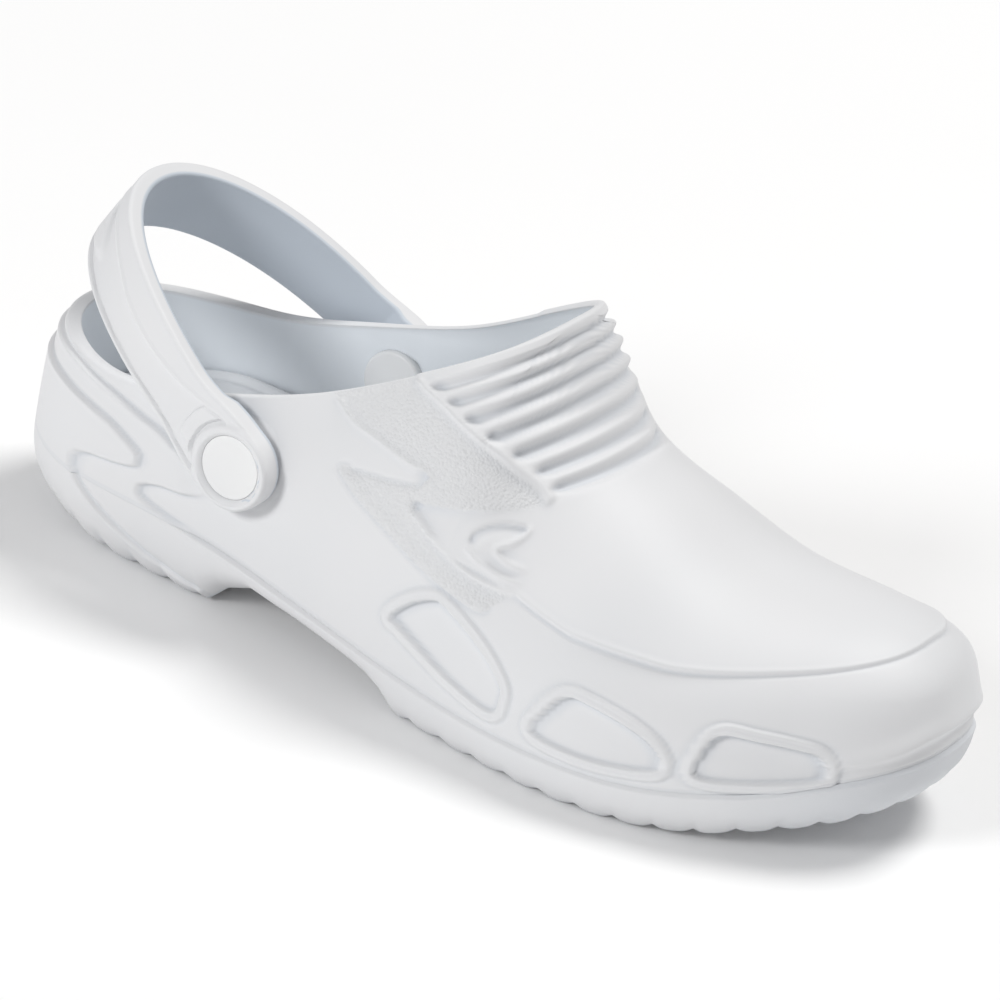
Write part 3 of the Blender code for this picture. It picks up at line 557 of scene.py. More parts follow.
def vampLevel(x, z, lateral, lean):
    # a layer with a ridge and a groove at its edge, softer towards the toe
    edge = np.where(lateral, along(through(vamp["lateral"]), x), along(through(vamp["medial"]), x))
    above = (z - edge) / lean
    start = np.where(lateral, ramp(*vamp["start"], x), ramp(*vamp["medialStart"], x))
    lineStart = np.where(lateral, ramp(*vamp["lineStart"], x), ramp(*vamp["medialLineStart"], x))
    layer = ramp(-vamp["edge"], vamp["edge"], above) * start
    soft = 1 - (1 - vamp["toeLine"]) * ramp(*vamp["toeSoft"], x)
    line = lineStart * soft * (raised(vamp["ridge"], above) + raised(vamp["groove"], above))
    rise = vamp["rise"] * (1 - vamp["softShare"] * (1 - soft))
    return rise * layer + line, layer, above


def flashLevel(level, x, z, lateral, layer, above, ahead):
    # zigzag flash: each field rises to its lower edge and tucks under the one above
    lines = {key: through(points) for key, points in edges.items()}
    far = {key: lineDistance(points, x, z) for key, points in lines.items()}
    field, strip = insideDistance(fieldLoop, x, z), insideDistance(stripLoop, x, z)
    inField = ramp(-flash["fieldEdge"], flash["fieldEdge"], field) * lateral
    inStrip = ramp(-flash["stripEdge"], flash["stripEdge"], strip) * lateral
    scoop = flash["scoop"] * ramp(*flash["scoopRun"], x) * ramp(*flash["scoopEdge"], above)
    scoop = scoop * ramp(flash["scoopReach"], 0, -field)
    level = level - lateral * scoop * layer
    stripLevel = flash["stripLow"] + flash["stripRise"] * ramp(*flash["stripRun"], far["outerEdge"])
    level = blend(level, stripLevel + raised(flash["wedgeDip"], far["wedge"]), inStrip)
    panel = flash["panel"] * (flash["panelBack"] + (1 - flash["panelBack"]) * ramp(*flash["panelRun"], x))
    level = blend(level, panel, inField * ramp(*flash["collarRun"], ahead))
    heights = {key: raised(shape, far[key]) for key, shape in flash["ridges"].items()}
    heights["leftEdge"] = heights["leftEdge"] * ramp(*flash["leftEdgeRun"], ahead)
    level = level + lateral * flash["ridge"] * sum(heights.values()) * ramp(*flash["ridgeEnd"], x)
    groove = raised(flash["stripGroove"], strip) * ramp(*flash["grooveRun"], far["outerEdge"])
    level = level + lateral * groove
    hook = insideDistance(np.concatenate([lines["hookOuter"], lines["hookInner"]]), x, z)
    level = level + lateral * raised(flash["hookDip"], far["hookOuter"]) * ramp(*flash["hookEdge"], hook)
    dimpleX, dimpleZ = flash["dimple"]
    level = level + lateral * raised(flash["dimpleDip"], np.hypot(x - dimpleX, z - dimpleZ))
    return level, inField, inStrip, far


def windowLevel(x, z):
    # groove, rim, bevel and a floor that comes up to its lower edge, measured along the outer edge
    fine, run = edgeRun()
    total, rimWidth = 0, windows["rimWidth"]
    for corners in windows["corners"]:
        loop = through(corners, True)
        loop[:, 0] = np.interp(loop[:, 0], fine, run)
        d = insideDistance(loop, np.interp(x, fine, run), z)
        deep = windows["shallow"] + (1 - windows["shallow"]) * ramp(loop[:, 1].min(), loop[:, 1].max(), z)
        rim = windows["rim"] * ramp(*windows["rimStart"], d + rimWidth) * ramp(*windows["rimEnd"], d)
        rim = rim + raised(windows["outerRidge"], d + rimWidth) + raised(windows["innerRidge"], d)
        floor = windows["depth"] * deep * ramp(*windows["floorEdge"], d)
        total = total + rim - floor + raised(windows["groove"], d + rimWidth)
    return total


def beadLevel(x, z):
    # bead round the toe and the recess under it
    tip = ramp(*bead["start"], x) * (1 - bead["tipShare"] * (1 - ramp(*bead["tip"], x)))
    over = z - along(bead["line"], x)
    width = np.where(over > 0, bead["above"], bead["below"])
    return tip * (bead["rise"] * hump(over, width) + raised(bead["recess"], over))


def upperRelief(x, side, point, normal):
    z, lateral, ahead = point[..., 2], side < 0, aheadOfCollar(point)
    lean = np.sqrt(np.clip(1 - normal[..., 2] ** 2, vamp["leanLeast"], 1))
    level, layer, above = vampLevel(x, z, lateral, lean)
    level, inField, inStrip, far = flashLevel(level, x, z, lateral, layer, above, ahead)
    inRibs, pocket, wave = ribWave(point)
    level = blend(level, blend(ribs["top"], ribs["floor"], pocket * (1 - wave)), inRibs)
    level = level + lateral * raised(flash["piping"], far["piping"]) * ramp(*flash["pipingRun"], ahead)
    level = level + lateral * windowLevel(x, z) + beadLevel(x, z)
    level = level + heelSteps(x, z) + toeSwell(x) * ramp(*last["swellHeight"], z)  # none at the crest
    fieldGrain = inField * (1 - inRibs) * ramp(*flash["pipingClear"], far["piping"])
    return level, np.maximum(fieldGrain, inStrip * ramp(*flash["lineClear"], far["innerLine"]))


def hollowOf(height, spread=3):
    # how far a point lies below its neighbours, used as the share of painted shade
    near, wide = sum(np.roll(height, i, 0) for i in range(-spread, spread + 1)), 2 * spread + 1
    near = np.pad(near, ((0, 0), (spread, spread)), mode="edge")
    near = sum(near[:, i:i + height.shape[1]] for i in range(wide)) / wide ** 2
    return np.clip((near - height) * foam["hollowGain"], 0, 1)


# upper

upper = {
    "wall": 4.2, "lipWall": 2.3, "lipRun": (14, 1), "thinRun": (60, 105),
    "medialThin": 0.8, "medialRun": (30, 70), "medialEnd": (2, 30),
    "rows": 146, "innerRows": 10, "flashBack": 96.0, "ribBack": 130.0, "throatEase": 1.35, "toeEase": 1.4,
    "columns": {"heel": (40, 30), "back": (46, 36), "side": (46, 16), "throat": (40, 30), "rib": (60, 60),
                "toe": (101, 101)},
    "lip": [(1, 0), (.94, .34), (.8, .6), (.56, .8), (.2, .92), (-.3, .95), (-.74, .93), (-.93, .9),
            (-.99, .84), (-1, .74), (-1, 0)],
    "lipRise": 0.75, "footIn": 0.6, "footDrop": 0.1, "jointShade": 0.35, "jointRows": 3,
}
strap = {
    "swing": 32.6, "bend": -3.8, "reach": 80.8, "span": 44.7, "square": 2.05, "width": 18.0, "widen": 5.4,
    "thick": 4.8, "end": 12.2, "headRun": (26, 6), "endBoss": 1.8, "bossRun": (16.5, 12),
    "samples": 4001, "columns": 150, "endColumns": 26, "fineColumns": 75, "fineRun": 30.0, "across": (40, 26),
    "outerRound": 1.0, "innerRound": 0.8, "panelDepth": 0.9, "rim": 1.6, "rimGroove": (-0.22, -0.1, 0.4),
    "ring": 0.5, "ringEdge": (12.2, 11.2), "ringGroove": (-0.3, 12.7, 0.45), "ringShade": (0.5, 9.2, 0.6),
    "pillow": 0.95, "pillowInner": (13.0, 13.5), "pillowOuter": (18.0, 17.4), "pillowSide": (8.2, 6.6),
    "rimEdge": (-0.2, 0.3), "lineEdge": (0.15, -0.3), "panelStart": (11.8, 13), "rimRun": (6, 14),
    "pillowTaper": (0.2, 0.35, 12), "ringRun": (2, 7), "lineRidge": (0.22, 0.75, 0.6), "lineRun": (12, 18),
    "oval": (26.0, 6.0, -4.4, 1.1), "ovalEdge": (1.06, 0.86), "lineLimit": 0.9, "pocketAngle": 38,
    "panelTop": [(0, 9), (11, 8.3), (15.5, 6.6), (26, 3.3), (36, 1.2), (46, 0.5), (55, 0.9), (66.7, 2.9),
                 (79, 4), (101, 4.6)],
}
strapFace = strap["span"] + strap["thick"] / 2
wallFace = strap["span"] - strap["thick"] / 2 - strap["endBoss"] - rivet["seatGap"]
innerFace = wallFace - upper["wall"] - rivet["wallExtra"]


def seat(points, side, target):
    # flat seat for a rivet, and the wall round it held back behind the strap's end
    near = np.hypot(points[..., 0] - rivet["x"], points[..., 2] - rivet["z"])
    out = (points[..., 1] - rivet["strapMiddle"]) * side
    share = ramp(rivet["seatRadius"] + rivet["seatBlend"], rivet["seatRadius"], near) * (out > 0)
    limit = target + rivet["seatSlope"] * np.maximum(near - strap["end"] - rivet["seatClear"], 0)
    points[..., 1] = rivet["strapMiddle"] + side * np.minimum(out * (1 - share) + target * share, limit)


def stations(hand):
    count = {key: pair[hand] for key, pair in upper["columns"].items()}
    turn = np.linspace(0, math.pi / 2, count["heel"], endpoint=False)
    throat = np.linspace(0, 1, count["throat"], endpoint=False)
    toe = np.linspace(0, 1, count["toe"])
    return np.concatenate([
        last["heelRound"] * (1 - np.cos(turn)),
        np.linspace(last["heelRound"], upper["flashBack"], count["back"], endpoint=False),
        np.linspace(upper["flashBack"], upper["ribBack"], count["side"], endpoint=False),
        upper["ribBack"] + (throatX - upper["ribBack"]) * (1 - (1 - throat) ** upper["throatEase"]),
        np.linspace(throatX, last["toeStart"], count["rib"], endpoint=False),
        last["toeStart"] + (length - last["toeStart"]) * (1 - (1 - toe) ** upper["toeEase"])])


def edgeRun():
    # stations and the length run along the outer edge
    fine = stations(0)
    return fine, runLength(outline(fine, -1.0))


def evenColumns(count):
    fine, run = edgeRun()
    x = np.interp(np.linspace(0, run[-1], count), run, fine)
    return roundColumns(x, x)


def wallAngles(x, rows):
    # rows stay level low on the wall and close up only towards the collar rim
    samples, ballX = 240, 190.0
    top, fine = topAngle(x)[:, None], np.linspace(0, 1, samples)
    run = runLength(lastPoint(np.full(samples, ballX), -1.0, fine * math.pi / 2))
    spread = np.linspace(0, 1, rows)
    spread[1] *= 0.2  # holds the bottom edge
    spread = np.interp(spread * (0.5 + 0.5 * spread), run / run[-1], fine)  # closer rows on the lower wall
    return top * (1 - np.clip(1 - spread, 0, 1) ** (math.pi / 2 / top))


def lastNormals(x, side, angle):
    # outward directions of the last, from neighbours at the same angle
    def around(step):
        return lastPoint(np.roll(x, step)[:, None], np.roll(side, step)[:, None], angle)

    step = 0.004  # both angles are kept inside the quarter turn
    higher = lastPoint(x[:, None], side[:, None], np.clip(angle + step, 0.002, 1.57))
    lower = lastPoint(x[:, None], side[:, None], np.clip(angle - step, 0.001, 1.566))
    return unit(np.cross(around(-1) - around(1), higher - lower))


def collarLip(rimOut, rimIn):
    # rounded lip over the rim, from its outer to its inner edge
    centre, halfWall = (rimOut + rimIn) / 2, (rimOut - rimIn) / 2
    rise = unit(np.cross(halfWall, np.roll(centre, -3, 0) - np.roll(centre, 3, 0)))
    rise = rise * np.linalg.norm(halfWall, axis=1, keepdims=True) * np.sign(rise[:, 2:3])
    across, up = np.array(upper["lip"])[:, :1], np.array(upper["lip"])[:, 1:]
    lip = centre[:, None] + halfWall[:, None] * across + rise[:, None] * upper["lipRise"] * up
    lip[:, 0], lip[:, -1] = rimOut, rimIn
    return lip


def makeUpper():
    lateralX, medialX = stations(0), stations(1)
    x, side = roundColumns(lateralX, medialX)
    rows, half = upper["rows"], len(lateralX) - 1
    crest = np.flatnonzero(x >= throatX - tiny)
    mirror = 2 * half - crest

    def skin(rows):
        angle = wallAngles(x, rows)
        normal = lastNormals(x, side, angle)
        top, step = crestX(x[crest]), 0.2  # on the crest the normal leans only fore and aft
        slope = (crestHeight(top + step) - crestHeight(top - step)) / (2 * step)
        normal[crest, -1] = np.stack([-slope, 0 * slope, 1 + 0 * slope], 1) / np.hypot(slope, 1)[:, None]
        return lastPoint(x[:, None], side[:, None], angle), normal

    base, normal = skin(rows)
    station, hand = np.repeat(x[:, None], rows, 1), np.repeat(side[:, None], rows, 1)
    height, grain = upperRelief(station, hand, base, normal)
    # both sides meet at one height on the crest and at the toe
    height[crest, -1] = (height[crest, -1] + height[mirror, -1]) / 2
    height[half] = (height[half] + upperRelief(station[half], -hand[half], base[half], normal[half])[0]) / 2
    outer = base + normal * height[..., None]
    base, normal = skin(upper["innerRows"])
    nearRim = ramp(*upper["lipRun"], aheadOfCollar(base))
    medialEnd = throatX - np.array(upper["medialEnd"])
    medialThin = ramp(*upper["medialRun"], x) * ramp(*medialEnd, x) * (side > 0)
    thin = (upper["wall"] - upper["lipWall"]) * nearRim * ramp(*upper["thinRun"], base[..., 0])
    thin = thin + upper["medialThin"] * nearRim * medialThin[:, None]
    inner = base - normal * (upper["wall"] + heelInset(x)[:, None] - thin)[..., None]
    inner[:, 0, 2] = joint(inner[:, 0, 0])
    for sign in (-1, 1):
        seat(outer, sign, wallFace)
        seat(inner, sign, innerFace)
    # the collar runs from the medial throat round the heel to the lateral throat
    behind = x < throatX + tiny
    order = np.concatenate([np.flatnonzero(behind & (side > 0)), np.flatnonzero(behind & (side < 0))])
    lip = collarLip(outer[order, -1], inner[order, -1])
    # foot of the wall, just clear of the edge of the sole
    foot = outer[:, 0] - normal[:, 0] * upper["footIn"] - np.array([0, 0, upper["footDrop"]])
    bottom = np.stack([outer[:, 0], foot, inner[:, 0]], 1)
    # painted shade in the hollows of the relief
    paintedShade = hollowOf(height)
    shaded = paintedShade[:, :upper["jointRows"]]  # painted shade along the joint with the sole
    shaded[:] = np.maximum(shaded, upper["jointShade"])
    marks = {"grain": grain, "paintedShade": paintedShade}
    # the inner skin takes the inside tone, painted light
    return [(outer, True, marks), (inner, True, {"inside": 1.0}), (lip, True, {}), (bottom, True, {})]


makePiece("upper_moulding", makeUpper(), "upper", upperFinish)

# sole

sole = {
    "columns": 420, "wallRows": 52, "rowEase": 1.15,
    "inset": 7.7, "spread": 4.4, "spreadRun": (134, 150), "fall": 2.6,
    "topIn": 0.8, "topGap": 0.2, "ledgeInner": 4.3, "ledgeOuter": 3.9,
    "lugPitch": 11.0, "lugDepth": 1.0, "heelLugs": (86, 74), "foreLugs": (108, 140), "lugInner": 0.64,
    "notch": 0.5, "heelNotch": 0.9, "heelNotchRun": (100, 60), "channelInner": 0.56, "channelDepth": 1.6,
    "channelRun": (100, 150), "treadRows": 34, "chevronPitch": 10.0, "chevronDepth": 1.1, "foldWidth": 22.0,
    "foldReach": 9.0, "toeShade": 0.85, "shadeRun": (236, 278), "layerFall": 6, "notchSharp": 1.5,
    "notchRun": (0.5, 0.9), "lugRun": (0.82, 1), "lugSoft": 0.05, "channelSoft": 0.02, "chevronSoft": 0.06,
    "chevronEdge": (0.45, 0.85),
}


def makeSole():
    x, side = evenColumns(sole["columns"])
    edge, crest = outline(x, side), crestPlan(x)
    out, run, low, high = outward(edge), runLength(edge), under(x), joint(x)
    total = run[-1] + np.linalg.norm(edge[0] - edge[-1])
    notch = 1 - np.abs(np.sin(math.pi * round(total / sole["lugPitch"]) * run / total))
    notch = notch ** sole["notchSharp"] * (ramp(*sole["heelLugs"], x) + ramp(*sole["foreLugs"], x))
    notchDepth = (sole["notch"] + sole["heelNotch"] * ramp(*sole["heelNotchRun"], x)) * notch
    rows, heights = [], []
    # top: the floor inside, then a ledge up to the joint
    top = edge + out * (heelSteps(x, high) + toeSwell(x) - sole["topIn"])[:, None]
    reach, zero = np.linalg.norm(top - crest, axis=1), 0 * x
    for share, onLedge in ((zero, False), (zero + 0.5, False), (1 - sole["ledgeInner"] / reach, False),
                           (1 - sole["ledgeOuter"] / reach, True), (zero + 1, True)):
        plan = crest + (top - crest) * np.clip(share, 0, 1)[:, None]
        level = high if onLedge else insideFloor(plan[:, 0])
        rows.append(np.column_stack([plan, level - sole["topGap"]]))
        heights.append(zero)
    # side wall
    shares = np.linspace(0, 1, sole["wallRows"]) ** sole["rowEase"]
    shares[1] *= 0.2  # holds the top edge
    inset = sole["inset"] - sole["spread"] * ramp(*sole["spreadRun"], x)
    for share in shares:
        height = high - (high - low) * share
        layers = heelSteps(x, height) + heelInset(x)
        swell = layers * (1 - share ** sole["layerFall"]) - heelInset(x)
        swell = swell - inset * share ** sole["fall"] + toeSwell(x)
        swell = swell - notchDepth * ramp(*sole["notchRun"], share)
        lugs = sole["lugDepth"] * notch * ramp(*sole["lugRun"], share)
        rows.append(np.column_stack([edge + out * swell[:, None], height + lugs]))
        heights.append(swell + heelInset(x))
    # tread: lugs round the rim, a channel inside them, chevrons in the middle
    rim, soft = rows[-1][:, :2], sole["channelSoft"]
    lugInner, channelInner = sole["lugInner"], sole["channelInner"]
    for share in np.linspace(1, 0, sole["treadRows"])[1:]:
        plan = crest + (rim - crest) * share
        lugs = sole["lugDepth"] * notch * ramp(lugInner, lugInner + sole["lugSoft"], share)
        channel = sole["channelDepth"] * ramp(lugInner + soft, lugInner - soft, share)
        channel = channel * ramp(channelInner - soft, channelInner + soft, share)
        channel = channel * ramp(*sole["channelRun"], plan[:, 0])
        fold = np.abs(((plan[:, 1] - middle(plan[:, 0])) / sole["foldWidth"]) % 2 - 1) * sole["foldReach"]
        wave = np.cos(2 * math.pi * (plan[:, 0] + fold) / sole["chevronPitch"])
        chevron = sole["chevronDepth"] * ramp(*sole["chevronEdge"], wave)
        chevron = chevron * ramp(channelInner, channelInner - sole["chevronSoft"], share)
        rows.append(np.column_stack([plan, under(plan[:, 0]) + np.maximum(lugs, channel) + chevron]))
        heights.append(zero)
    # painted shade: the toe end of the sole is darkened, on top of painted shade in the hollows of its wall
    shade = sole["toeShade"] * ramp(*sole["shadeRun"], x)
    paintedShade = np.clip(hollowOf(np.stack(heights, 1), 2) + shade[:, None], 0, 1)
    return [(np.stack(rows, 1), True, {"paintedShade": paintedShade})]


makePiece("sole_moulding", makeSole(), "sole", soleFinish)

# insole

insole = {
    "thick": 4.0, "dish": 1.6, "dishRun": (0.98, 0.35), "gap": 4.8, "lift": 0.4, "rows": 56, "columns": 150,
    "rowEase": 1.7, "edgeIn": 0.4, "edgeDrop": (-0.4, 0, 0.7), "edgeShare": 0.8,
    "cup": 7.6, "cupFront": (150, 85), "cupBack": (-6, 46), "cupReach": 13.0,
    "border": 3.2, "borderLine": (-0.7, 0, 0.7), "borderRidge": (0.5, -1.7, 0.9),
}


def makeInsole():
    x, side = evenColumns(insole["columns"])
    edge, crest = outline(x, side), crestPlan(x)
    edge = edge - outward(edge) * (insole["gap"] + heelInset(x))[:, None]
    span = np.linalg.norm(edge - crest, axis=1)
    cup = insole["cup"] * ramp(*insole["cupFront"], x) * ramp(*insole["cupBack"], x)  # beside the heel
    rows = []
    for share, up in ((0, 0), (1, 0), (1, insole["edgeShare"])):
        plan = crest + (edge - crest) * share
        rows.append(np.column_stack([plan, insideFloor(plan[:, 0]) + insole["lift"] + insole["thick"] * up]))
    for share in 1 - np.linspace(0, 1, insole["rows"]) ** insole["rowEase"]:
        share = share * (1 - insole["edgeIn"] / np.maximum(span, 1))
        plan = crest + (edge - crest) * share[:, None]
        away = span * (1 - share)
        inBorder = away - insole["border"]
        top = insole["thick"] - insole["dish"] * ramp(*insole["dishRun"], share)
        top = top + raised(insole["edgeDrop"], away)
        top = top + cup * ramp(insole["cupReach"], 0, away)
        top = top + raised(insole["borderLine"], inBorder) + raised(insole["borderRidge"], inBorder)
        rows.append(np.column_stack([plan, insideFloor(plan[:, 0]) + insole["lift"] + top]))
    return [(np.stack(rows, 1), True, {})]


makePiece("insole_pad", makeInsole(), "insole", insoleFinish)

# heel strap

def strapLine(count):
    # middle line, closer steps near the rivets: reach back from them, place across, length run
    turn = np.linspace(-0.5, 0.5, strap["samples"]) * math.pi
    power, fineRun = 2 / strap["square"], strap["fineRun"]
    reach = strap["reach"] * np.clip(np.cos(turn), 0, 1) ** power
    across = strap["span"] * np.sign(turn) * np.abs(np.sin(turn)) ** power
    run = runLength(np.column_stack([reach, across]))
    fine = np.linspace(0, fineRun, strap["fineColumns"], endpoint=False)
    even = np.concatenate([fine, np.linspace(fineRun, run[-1] - fineRun, count), run[-1] - fine[::-1]])
    tail = -strap["end"] * np.cos(np.linspace(0, 0.5, strap["endColumns"], endpoint=False) * math.pi)
    side = np.full(len(tail), strap["span"])
    reach = np.concatenate([tail, np.interp(even, run, reach), tail[::-1]])
    across = np.concatenate([-side, np.interp(even, run, across), side])
    return reach, across, np.concatenate([tail, even, run[-1] - tail[::-1]]), run[-1]


def makeStrap():
    reach, across, place, total = strapLine(strap["columns"])
    swung, end = np.clip(reach / strap["reach"], 0, 1), strap["end"]
    swing = np.radians(strap["swing"] + strap["bend"] * swung)
    point = np.column_stack([rivet["x"] - reach * np.cos(swing), rivet["strapMiddle"] + across,
                             rivet["z"] + reach * np.sin(swing)])
    wide = np.column_stack([np.sin(swing), 0 * swing, np.cos(swing)])
    out = unit(np.cross(wide, unit(np.gradient(point, axis=0))))
    fromEnd = np.minimum(place, total - place)  # under zero past the rivet
    half = (strap["width"] + strap["widen"] * swung) / 2
    half = half + (end - half) * ramp(*strap["headRun"], fromEnd)
    half = (half * np.sqrt(np.clip(1 - (np.minimum(fromEnd, 0) / end) ** 2, 0, 1)))[:, None]
    # rows across follow the panel's upper line
    upperLine = along(through(strap["panelTop"]), fromEnd)[:, None]
    limit = strap["lineLimit"] * half
    split = np.clip(upperLine, -limit, limit)
    lower, higher = ((1 - np.cos(math.pi * np.linspace(0, 1, n))) / 2 for n in strap["across"])
    w = np.concatenate([-half + (split + half) * lower, split + (half - split) * higher[1:]], 1)
    count = w.shape[1]
    s = np.repeat(fromEnd[:, None], count, 1)
    near, inside = np.hypot(s, w), half - np.abs(w)
    edge = np.clip(np.where(s < 0, end - near, inside), 0, None)

    def rounded(radius):
        d = np.minimum(edge, radius)
        return strap["thick"] / 2 - radius + np.sqrt(np.clip(radius ** 2 - (radius - d) ** 2, 0, None))

    # outer face: a panel between a thin lower rim and a line that dips in the middle and climbs to both ends
    inPanel = ramp(*strap["rimEdge"], np.where(w > 0, strap["width"], inside) - strap["rim"])
    inPanel = inPanel * ramp(*strap["lineEdge"], w - upperLine) * ramp(*strap["panelStart"], near)
    pillow = ramp(*strap["pillowInner"], near) * ramp(*strap["pillowOuter"], near) * (s > 0)
    pillowMiddle, taper, taperStart = strap["pillowTaper"]
    pillow = pillow * ramp(*strap["pillowSide"], np.abs(w - pillowMiddle) + taper * (s - taperStart))
    a, b, drop, rise = strap["oval"]
    oval = ramp(*strap["ovalEdge"], np.hypot((place[:, None] - total / 2) / a, (w - drop) / b))
    face = rounded(strap["outerRound"]) - strap["panelDepth"] * inPanel
    face = face + raised(strap["rimGroove"], inside - strap["rim"]) * (w < 0) * ramp(*strap["rimRun"], s)
    face = face + strap["pillow"] * pillow + strap["ring"] * ramp(*strap["ringEdge"], near) + rise * oval
    face = face + raised(strap["ringGroove"], near) * ramp(*strap["ringRun"], s)
    face = face + raised(strap["lineRidge"], w - upperLine) * ramp(*strap["lineRun"], s)
    back = -rounded(strap["innerRound"]) - strap["endBoss"] * ramp(*strap["bossRun"], s)

    def put(acrossStrap, up):
        return point[:, None] + wide[:, None] * acrossStrap[..., None] + out[:, None] * up[..., None]

    share = np.linspace(0, 1, 6)[1:-1]  # rows on the two edges
    wallUp = face[:, -1:] + (back[:, -1:] - face[:, -1:]) * share
    wallDown = back[:, :1] + (face[:, :1] - back[:, :1]) * share
    ring = np.concatenate([
        put(w, face), put(np.repeat(w[:, -1:], len(share), 1), wallUp), put(w[:, ::-1], back[:, ::-1]),
        put(np.repeat(w[:, :1], len(share), 1), wallDown), put(w[:, :1], face[:, :1])], 1)
    paintedShade, inner = np.zeros(ring.shape[:2]), np.zeros(ring.shape[:2])
    # painted shade in the recess round each rivet cap
    paintedShade[:, :count] = raised(strap["ringShade"], near)
    # the strap's inner face takes the strap's inside tone, painted shade
    inner[:, count + len(share):2 * count + len(share)] = 1
    return [(ring, False, {"paintedShade": paintedShade, "inside": inner})]


def turned(profile, side, base, sides=72):
    # round part about the rivet axis; profile rows are radius and distance outward
    angle = np.linspace(0, 2 * math.pi, sides, endpoint=False)[:, None]
    r, h = np.array(profile, float).T
    y = rivet["strapMiddle"] + side * (base + h + 0 * angle)
    return [(np.stack([rivet["x"] + r * np.cos(angle), y, rivet["z"] + r * np.sin(angle)], -1), True, {})]


def rounding(r, h, radius, start, steps=6):
    # quarter round about (r, h) from a start angle
    turn = np.radians(np.linspace(start, start + 90, steps))
    return [(r + radius * math.cos(t), h + radius * math.sin(t)) for t in turn]


def cutPocket(piece, side, word):
    # through bore and flared pocket for one rivet
    pocket, bore, sink = rivet["pocket"], rivet["shaft"] + rivet["gap"], rivet["sink"]
    deep, top = rivet["cutDepth"], rivet["flare"][-1][1]
    shape = [(0, -deep), (bore, -deep), (bore, -sink), (pocket, -sink)]
    shape = shape + [(pocket + r, h) for r, h in rivet["flare"]] + [(0, top)]
    tool = makePiece("pocket_" + word, turned(shape, side, strapFace), "", strapFinish)
    step = piece.modifiers.new("pocket", "BOOLEAN")
    step.operation, step.solver, step.object = "DIFFERENCE", "EXACT", tool
    bpy.context.view_layer.update()
    cut = bpy.data.meshes.new_from_object(piece.evaluated_get(bpy.context.evaluated_depsgraph_get()))
    piece.modifiers.clear()
    piece.data = cut
    bpy.data.objects.remove(tool, do_unlink=True)


sides = ((-1, "lateral"), (1, "medial"))
strapPiece = makePiece("heel_strap_band", makeStrap(), "heel_strap", strapFinish)
for side, word in sides:
    cutPocket(strapPiece, side, word)
strapPiece.data.set_sharp_from_angle(angle=math.radians(strap["pocketAngle"]))
print("strap pockets cut")

# rivets

def capProfile():
    r, low, shaft = rivet["capRadius"], rivet["gap"] - rivet["sink"], rivet["shaft"]
    high = low + rivet["capThick"]
    shaftEnd = innerFace - rivet["backThick"] + rivet["shaftDepth"] - strapFace
    edge, bevel, rimBevel = rivet["capRound"], rivet["shaftRound"], rivet["capEdge"]
    stem = [(0, shaftEnd), (shaft - bevel, shaftEnd), (shaft, shaftEnd + bevel), (shaft, low)]
    rim = [(r - rimBevel, low), (r, low + rimBevel)]
    flat, dome = r * rivet["capFlat"], rivet["crown"]
    crown = [(flat * t, high + dome * (1 - t * t)) for t in np.linspace(1, 0, rivet["crownSteps"])]
    return stem + rim + rounding(r - edge, high - edge, edge, 0) + crown


def backProfile():
    r, top, edge = rivet["backRadius"], -rivet["gap"], rivet["backRound"]
    low, bore = top - rivet["backThick"], rivet["shaft"] + rivet["gap"]
    flat, dome = r * rivet["backFlat"], rivet["backCrown"]
    steps = np.linspace(0, rivet["backCrownEnd"], rivet["crownSteps"])
    crown = [(flat * t, low - dome * (1 - t * t)) for t in steps]
    floor = low + rivet["boreFloor"]
    hole = [(r, top), (bore, top), (bore, floor), (0, floor)]
    return crown + rounding(r - edge, low + edge, edge, -90) + hole


for side, word in sides:
    head, disc = turned(capProfile(), side, strapFace), turned(backProfile(), side, innerFace)
    makePiece("rivet_head_" + word, head, "rivet_cap_" + word, rivetFinish)
    makePiece("rivet_disc_" + word, disc, "rivet_back_" + word, rivetFinish)

# floor, light and camera

studio = {
    "azimuth": 27.77, "elevation": 26.46, "roll": 11.05, "distance": 1.4355, "lens": 192.2, "sensor": 36.0,
    "shift": (0.013, 0.00335), "target": (140.0, 0.0, 45.0), "world": 0.38, "sky": (0.985, 0.98, 0.99, 1),
    "floor": 5.0, "floorSteps": 24, "floorDrop": 0.0003, "floorScale": 5.0, "floorDetail": 2.0,
    "floorRough": 0.6, "floorRoughSpread": 0.1, "floorGloss": 0.2, "clip": (0.05, 50.0),
    "paint": (0.955, 0.955, 0.955, 1), "palePaint": (0.97, 0.97, 0.97, 1),
    "lights": [  # name, right, up and toward the camera from the target in metres, size, watts, colour
        ("front", -2.30, 1.62, 2.08, 1.0, 49.0, (0.99, 0.997, 1.0)),
        ("top", 1.20, 3.15, -0.90, 1.4, 70.0, (1.0, 0.995, 0.98)),
    ],
}


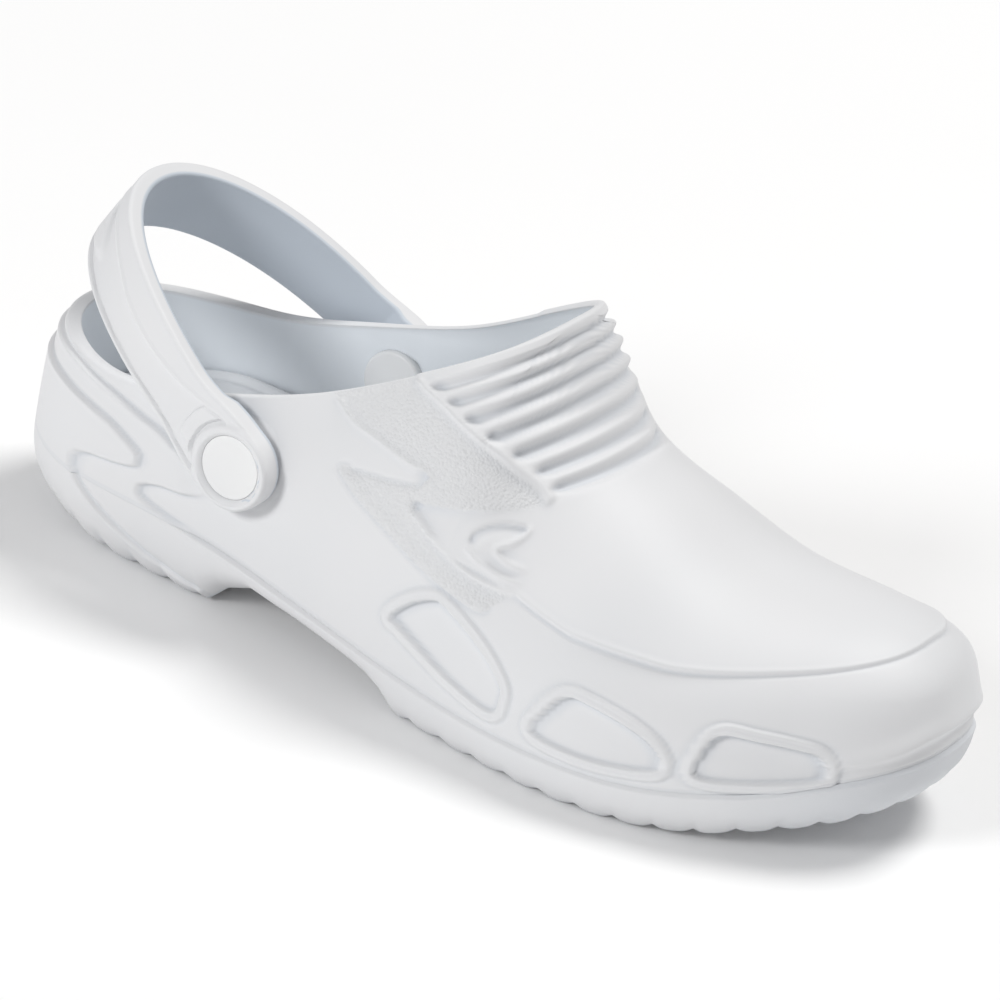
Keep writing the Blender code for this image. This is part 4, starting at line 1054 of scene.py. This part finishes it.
def makeFloor():
    size, n = studio["floor"], studio["floorSteps"]
    line = np.linspace(-size, size, n)
    points = [(a, b, -studio["floorDrop"]) for a in line for b in line]
    starts = [i * n + j for i in range(n - 1) for j in range(n - 1)]
    mesh = bpy.data.meshes.new("floor")
    mesh.from_pydata(points, [], [(k, k + n, k + n + 1, k + 1) for k in starts])
    floor = bpy.data.objects.new("floor", mesh)
    bpy.context.scene.collection.objects.link(floor)
    f = Finish("floor paint")
    cloud = f.noise(f.add("TexCoord", {}, {}, "Object"), studio["floorScale"], studio["floorDetail"])
    tone = f.mix(cloud, studio["paint"], studio["palePaint"])
    rough = studio["floorRough"] + studio["floorRoughSpread"] * cloud
    f.set(Base_Color=tone, Roughness=rough, Specular_IOR_Level=studio["floorGloss"])
    mesh.materials.append(f.material)


def makeStudio():
    a, e, roll = (math.radians(studio[key]) for key in ("azimuth", "elevation", "roll"))
    right = Vector((math.cos(a), math.sin(a), 0))
    up = Vector((-math.sin(a) * math.sin(e), math.cos(a) * math.sin(e), math.cos(e)))
    back = Vector((math.sin(a) * math.cos(e), -math.cos(a) * math.cos(e), math.sin(e)))
    flat = Vector((math.sin(a), -math.cos(a), 0))
    target = Vector(((np.array(studio["target"]) + toFrame) * mm).tolist())
    camera = bpy.data.objects.new("camera", bpy.data.cameras.new("camera"))
    bpy.context.scene.collection.objects.link(camera)
    x = right * math.cos(roll) + up * math.sin(roll)
    y = up * math.cos(roll) - right * math.sin(roll)
    place = target + back * studio["distance"]
    camera.matrix_world = Matrix(list(zip(x, y, back, place)) + [(0, 0, 0, 1)])
    camera.data.sensor_width, camera.data.lens = studio["sensor"], studio["lens"]
    camera.data.shift_x, camera.data.shift_y = studio["shift"]
    camera.data.clip_start, camera.data.clip_end = studio["clip"]
    bpy.context.scene.camera = camera
    for name, across, rise, toward, size, watts, colour in studio["lights"]:
        lamp = bpy.data.objects.new(name, bpy.data.lights.new(name, "AREA"))
        lamp.data.shape, lamp.data.size, lamp.data.energy, lamp.data.color = "DISK", size, watts, colour
        lamp.location = target + right * across + Vector((0, 0, rise)) + flat * toward
        lamp.rotation_mode = "QUATERNION"
        lamp.rotation_quaternion = (target - lamp.location).to_track_quat("-Z", "Y")
        bpy.context.scene.collection.objects.link(lamp)
    world = bpy.data.worlds.new("studio")
    world.use_nodes = True
    sky = world.node_tree.nodes["Background"]
    sky.inputs["Color"].default_value = studio["sky"]
    sky.inputs["Strength"].default_value = studio["world"]
    bpy.context.scene.world = world
    bpy.context.scene.view_settings.view_transform = "Standard"


makeFloor()
makeStudio()
print("studio set")
